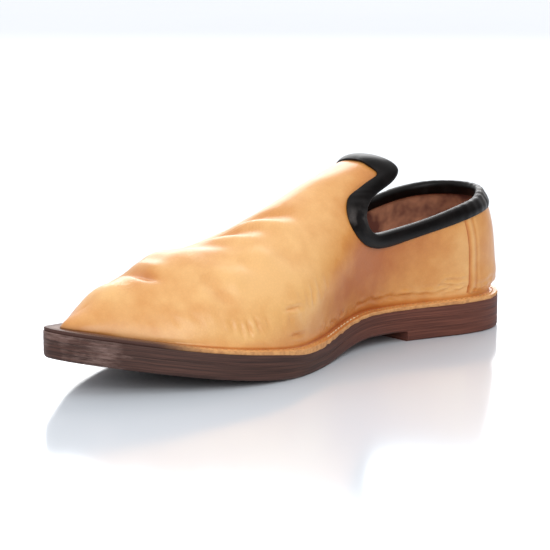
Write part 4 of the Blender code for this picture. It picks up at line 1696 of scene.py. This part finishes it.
@dataclass
class Bottom:
    """The insole, the midsole, the outsole and the low heel."""

    last: Last
    edge_leather: bpy.types.Material
    lining: bpy.types.Material
    stations: int = 260
    hair: float = 0.02
    sock: float = 2.5
    sock_inset: float = 2.8
    foot_runs: tuple[tuple[float, float], ...] = ((135.0, 12.0), (222.0, -15.0))
    toe_run: tuple[float, float] = (222.0, 44.0)
    toe_wear: float = 0.75
    all_wear: float = 0.2
    crisp: tuple[tuple[float, float], ...] = ((0.15, 0.0), (0.04, 0.03), (0.0, 0.15))
    worn: tuple[tuple[float, float], ...] = ((0.9, 0.0), (0.35, 0.08), (0.08, 0.2))
    upper_edge: tuple[tuple[float, float], ...] = ((0.0, 0.4), (0.0, 0.65), (0.0, 0.86), (0.03, 0.97), (0.13, 1.0))

    def ring(self, inset: Any, height: Callable[[Array], Array], front: Optional[float]) -> Array:
        """A closed ring round the sole.

        Args:
            inset: How far it lies in from the sole's edge, or a function of the station for that.
            height: Its height at a station.
            front: The station at which it ends, if that isn't the toe.

        Returns:
            Its points, from the heel along the inner side and back along the outer.
        """
        inner, outer = (self.last.outline.halves(inset)[side] for side in Side)
        low, high = inner[0, 0], inner[-1, 0] if front is None else front
        turn = np.linspace(0, math.pi if front is None else math.pi / 2, self.stations + 1)
        span = high - low
        stations = low + span * ((1 - np.cos(turn)) / 2 if front is None else 1 - np.cos(turn))
        inside = stations[1 : None if front else -1]
        near, far = (np.column_stack([inside, np.interp(inside, *half.T)]) for half in (inner, outer))
        toe = [] if front else [inner[-1:]]
        flat = np.concatenate([inner[:1], near, *toe, far[::-1]])
        return np.column_stack([flat, height(flat[:, 0])])

    def make(self, layer: Layer) -> bpy.types.Object:
        """Builds one layer: its rings from the bottom up, closed across underneath and on top.

        Args:
            layer: What it is.

        Returns:
            The piece.
        """
        bottom, top = layer.bottom, layer.top
        points = np.stack([
            self.ring(lambda s, rim=rim: layer.inset(s, rim),
                      lambda s, share=share: bottom(s) + (top(s) - bottom(s)) * share, layer.front)
            for rim, share in layer.profile
        ])
        station = points[..., 0]
        place = np.zeros(points.shape)
        place[..., 0] = travelled(points[0])
        place[..., 2] = points[..., 2] - bottom(station) + layer.pattern_shift
        low = np.array([share for _, share in layer.profile])[:, None]
        waist, toe = self.foot_runs
        foot = ease(1 - low * 4) * ramp(station, *waist) * ramp(station, *toe)
        wear = self.all_wear + self.toe_wear * ramp(station, *self.toe_run) + layer.foot_wear * foot
        paint = {"edge_place": place, "wear": wear[..., None], "station": station[..., None]}
        closed = {key: np.concatenate([a, a[:, :1]], axis=1) for key, a in {"points": points, **paint}.items()}
        rings, count = points.shape[:2]
        sheet = Sheet(closed.pop("points"), [Face.GRAIN] * count, closed)
        caps = [
            [start + corner for corner in (i, i + 1, (count - i - 1) % count, (count - i) % count)]
            for start in (0, (rings - 1) * (count + 1))
            for i in range((count + 1) // 2)
        ]
        return make_piece(self.last, layer.name, [sheet], (layer.finish,), caps=caps)

    def build(self) -> None:
        """Builds and settles the layers, from the floor up."""
        sole, hair = self.last.sole, self.hair
        # The layers are pressed together: only a hair's breadth and a worn corner show between them.
        close = (sole.gap - hair) / 2
        edge, worn = self.crisp + self.upper_edge, self.worn + self.upper_edge
        heel = Layer("heel_lift", np.zeros_like, lambda s: sole.outsole_bottom(s) - hair, worn, self.edge_leather,
                     front=sole.heel_breast)
        outsole = Layer("outsole_leather", sole.outsole_bottom, lambda s: sole.outsole_top(s) + close, worn,
                        self.edge_leather, foot_wear=0.5,
                        inset=lambda s, rim: rim * (0.12 + 0.88 * ramp(s, sole.heel_breast, 8.0)))
        midsole = Layer("midsole_leather", lambda s: sole.midsole_bottom(s) - close,
                        lambda s: sole.flange_bottom(s) - hair, edge, self.edge_leather, pattern_shift=7.0)
        sock = Layer("sock_leather", sole.flange_bottom, lambda s: sole.flange_bottom(s) + self.sock, edge,
                     self.lining, inset=lambda s, rim: self.last.outline.flange_width(s) + self.sock_inset + rim)
        settle(self.make(heel), "sole_leather", "heel")
        settle(self.make(outsole), "sole_leather", "outsole")
        settle(self.make(midsole), "sole_leather", "midsole")
        settle(self.make(sock), "insole_leather", "insole")


@dataclass
class Stitching:
    """The row of stitches round the turned-out edge."""

    last: Last
    thread: bpy.types.Material
    inset: float = 2.4
    pitch: float = 3.1
    length: float = 0.82
    jitter: float = 0.12
    thick: float = 0.72
    hump: float = 0.34
    flatness: float = 0.8
    sunk: float = 0.26
    toe_sunk: float = 0.3
    sides: int = 7
    steps: int = 6
    line_step: float = 0.5
    clean_runs: tuple[tuple[float, float], ...] = ((102.0, 3.0), (134.0, -3.0))
    stain_run: tuple[float, float] = (206.0, 22.0)

    def row(self, name: str, line: Array, up: Array) -> bpy.types.Object:
        """Builds a row of stitches.

        Args:
            name: The piece's name.
            line: The points of the stitch line, closely spaced.
            up: The outward direction at each.

        Returns:
            The piece, with all the row's stitches in one mesh.
        """
        run = travelled(line)
        random = np.random.default_rng(SEED)
        turn = np.linspace(0, 2 * math.pi, self.sides, endpoint=False)
        hump = np.sin(np.linspace(0, math.pi, self.steps))
        radius = self.thick / 2 * (0.55 + 0.45 * hump)
        corners, tubes = [], []
        for k in range(int(run[-1] / self.pitch)):
            start = (k + 0.5) * self.pitch + random.uniform(-self.jitter, self.jitter)
            at = start + np.linspace(-self.length / 2, self.length / 2, self.steps) * self.pitch
            centre, out = read_along(at, run, line), unit(read_along(at, run, up))
            across = unit(np.cross(unit(np.gradient(centre, axis=0)), out))
            sunk = self.sunk + self.toe_sunk * ramp(centre[:, 0], *self.stain_run)
            centre = centre + out * (hump * self.hump - sunk)[:, None]
            sideways = np.cos(turn)[:, None] * across[:, None]
            upwards = np.sin(turn)[:, None] * out[:, None] * self.flatness
            tube = centre[:, None] + (sideways + upwards) * radius[:, None, None]
            first = k * self.steps * self.sides
            final = first + (self.steps - 1) * self.sides
            corners += Sheet(tube, [Face.GRAIN] * self.sides, {}).faces(first)[0]
            corners += [tuple(range(end, end + self.sides)) for end in (first, final)]
            tubes.append(tube)
        spots = np.concatenate(tubes).reshape(-1, 3)
        heel_end, toe_end = (ramp(spots[:, 0], *clean) for clean in self.clean_runs)
        paint = {"clean": heel_end * toe_end, "stain": ramp(spots[:, 0], *self.stain_run)}
        return new_object(self.last.placed(spots), corners, name, paint, (self.thread,))

    def flange_line(self) -> tuple[Array, Array]:
        """Finds the stitch line round the turned-out edge.

        Returns:
            Its points, and the direction out of the leather at each.
        """
        halves = self.last.outline.halves(self.inset)
        flat = np.concatenate([halves[Side.INNER], halves[Side.OUTER][::-1]])
        line = np.column_stack([flat, self.last.sole.flange_top(flat[:, 0])])
        run = travelled(line)
        keep = np.concatenate([[True], np.diff(run) > 1e-6])
        line = read_along(np.arange(0, run[-1], self.line_step), run[keep], line[keep])
        return line, np.tile([0.0, 0.0, 1.0], (len(line), 1))

    def build(self) -> None:
        """Builds and settles the row."""
        settle(self.row("flange_stitches", *self.flange_line()), "upper_leather")


# ---------------------------------------------------------------- studio


@dataclass
class Studio:
    """A pale floor, soft lights and the camera."""

    last: Last
    floor_reach: float = 30.0
    camera_place: tuple[float, float, float] = (903.32, -917.4, 258.0)
    aim: tuple[float, float, float] = (139.0, -3.0, 38.0)
    lens: float = 170.0
    sensor: float = 36.0
    far: float = 100.0
    shoe_middle: tuple[float, float, float] = (0.0, 0.0, 0.04)
    white: tuple[float, float, float, float] = (1.0, 1.01, 1.035, 1.0)
    bright_way: tuple[float, float, float] = (0.6, 0.0, 0.8)

    def floor(self) -> None:
        """Lays the floor."""
        mesh = bpy.data.meshes.new("floor")
        size = self.floor_reach
        mesh.from_pydata([(-size, -size, 0), (size, -size, 0), (size, size, 0), (-size, size, 0)], [], [(0, 1, 2, 3)])
        obj = bpy.data.objects.new("floor", mesh)
        bpy.context.scene.collection.objects.link(obj)
        mesh.materials.append(LacqueredBoard().make())

    def faced(self, name: str, data: bpy.types.ID, place: Any, target: Any) -> bpy.types.Object:
        """Places a light or a camera so that it faces a point.

        Args:
            name: Its name.
            data: The light or the camera.
            place: Where it stands, in metres of the frame.
            target: The point that it faces.

        Returns:
            The object, linked to the scene.
        """
        obj = bpy.data.objects.new(name, data)
        obj.location = place
        obj.rotation_euler = (Vector(target) - Vector(place)).to_track_quat("-Z", "Y").to_euler()
        bpy.context.scene.collection.objects.link(obj)
        return obj

    def light(self, name: str, place: Sequence[float], size: float, power: float) -> None:
        """Hangs one soft square light that faces the shoe.

        Args:
            name: The light's name.
            place: Where it hangs, in metres of the frame.
            size: Its side, in metres.
            power: Its power, in watts.
        """
        data = bpy.data.lights.new(name, "AREA")
        data.size, data.energy = size, power
        self.faced(name, data, place, self.shoe_middle)

    def surround(self) -> bpy.types.World:
        """Makes the room: white above and behind the shoe, and dark low down on its inner side.

        Returns:
            The world.
        """
        world = bpy.data.worlds.new("white_surround")
        world.use_nodes = True
        node = partial(add_node, world.node_tree)
        way = node("TexCoord").outputs["Generated"]
        facing = node("VectorMath", {0: way, 1: self.bright_way}, operation="DOT_PRODUCT")
        level = node("MapRange", {"Value": facing.outputs["Value"], "From Min": -0.3, "From Max": 0.4,
                                  "To Min": 0.08, "To Max": 1.06}, interpolation_type="SMOOTHSTEP")
        background = world.node_tree.nodes["Background"]
        set_inputs(world.node_tree, background, {"Color": self.white, "Strength": level.outputs[0]})
        return world

    def build(self) -> None:
        """Sets the floor, the lights, the white surround and the camera."""
        self.floor()
        self.light("side_softbox", (-1.25, 0.55, 0.75), 0.9, 10.0)
        self.light("back_softbox", (0.95, -0.85, 0.75), 1.0, 10.5)
        scene = bpy.context.scene
        scene.world = self.surround()
        scene.view_settings.view_transform = "Standard"
        camera = bpy.data.cameras.new("camera")
        camera.lens, camera.sensor_width, camera.clip_end = self.lens, self.sensor, self.far
        place, aim = self.last.placed([self.camera_place, self.aim])
        scene.camera = self.faced("camera", camera, place, aim)


def corners(box: tuple[Vector, Vector]) -> list[list[float]]:
    """A box as plain lists of numbers."""
    return [[float(x) for x in corner] for corner in box]


def main() -> None:
    """Builds the shoe's looks in a maker's order."""
    logging.basicConfig(level=logging.INFO, format="%(message)s")
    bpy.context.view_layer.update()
    last = CreasedLast(SoleProfile(), Outline(), Spine(), worn_creases())
    collar = Collar()
    calf, cut, lining = TumbledCalf().make(), CUT_LEATHER.make(), LINING_LEATHER.make()
    Upper(last, collar, calf, cut, lining).build()
    CollarBinding(last, collar, SmoothBindingCalf().make()).build()
    Bottom(last, StackedSoleLeather().make(), lining).build()
    Stitching(last, WaxedThread().make()).build()
    Studio(last).build()


if __name__ == "__main__":
    main()
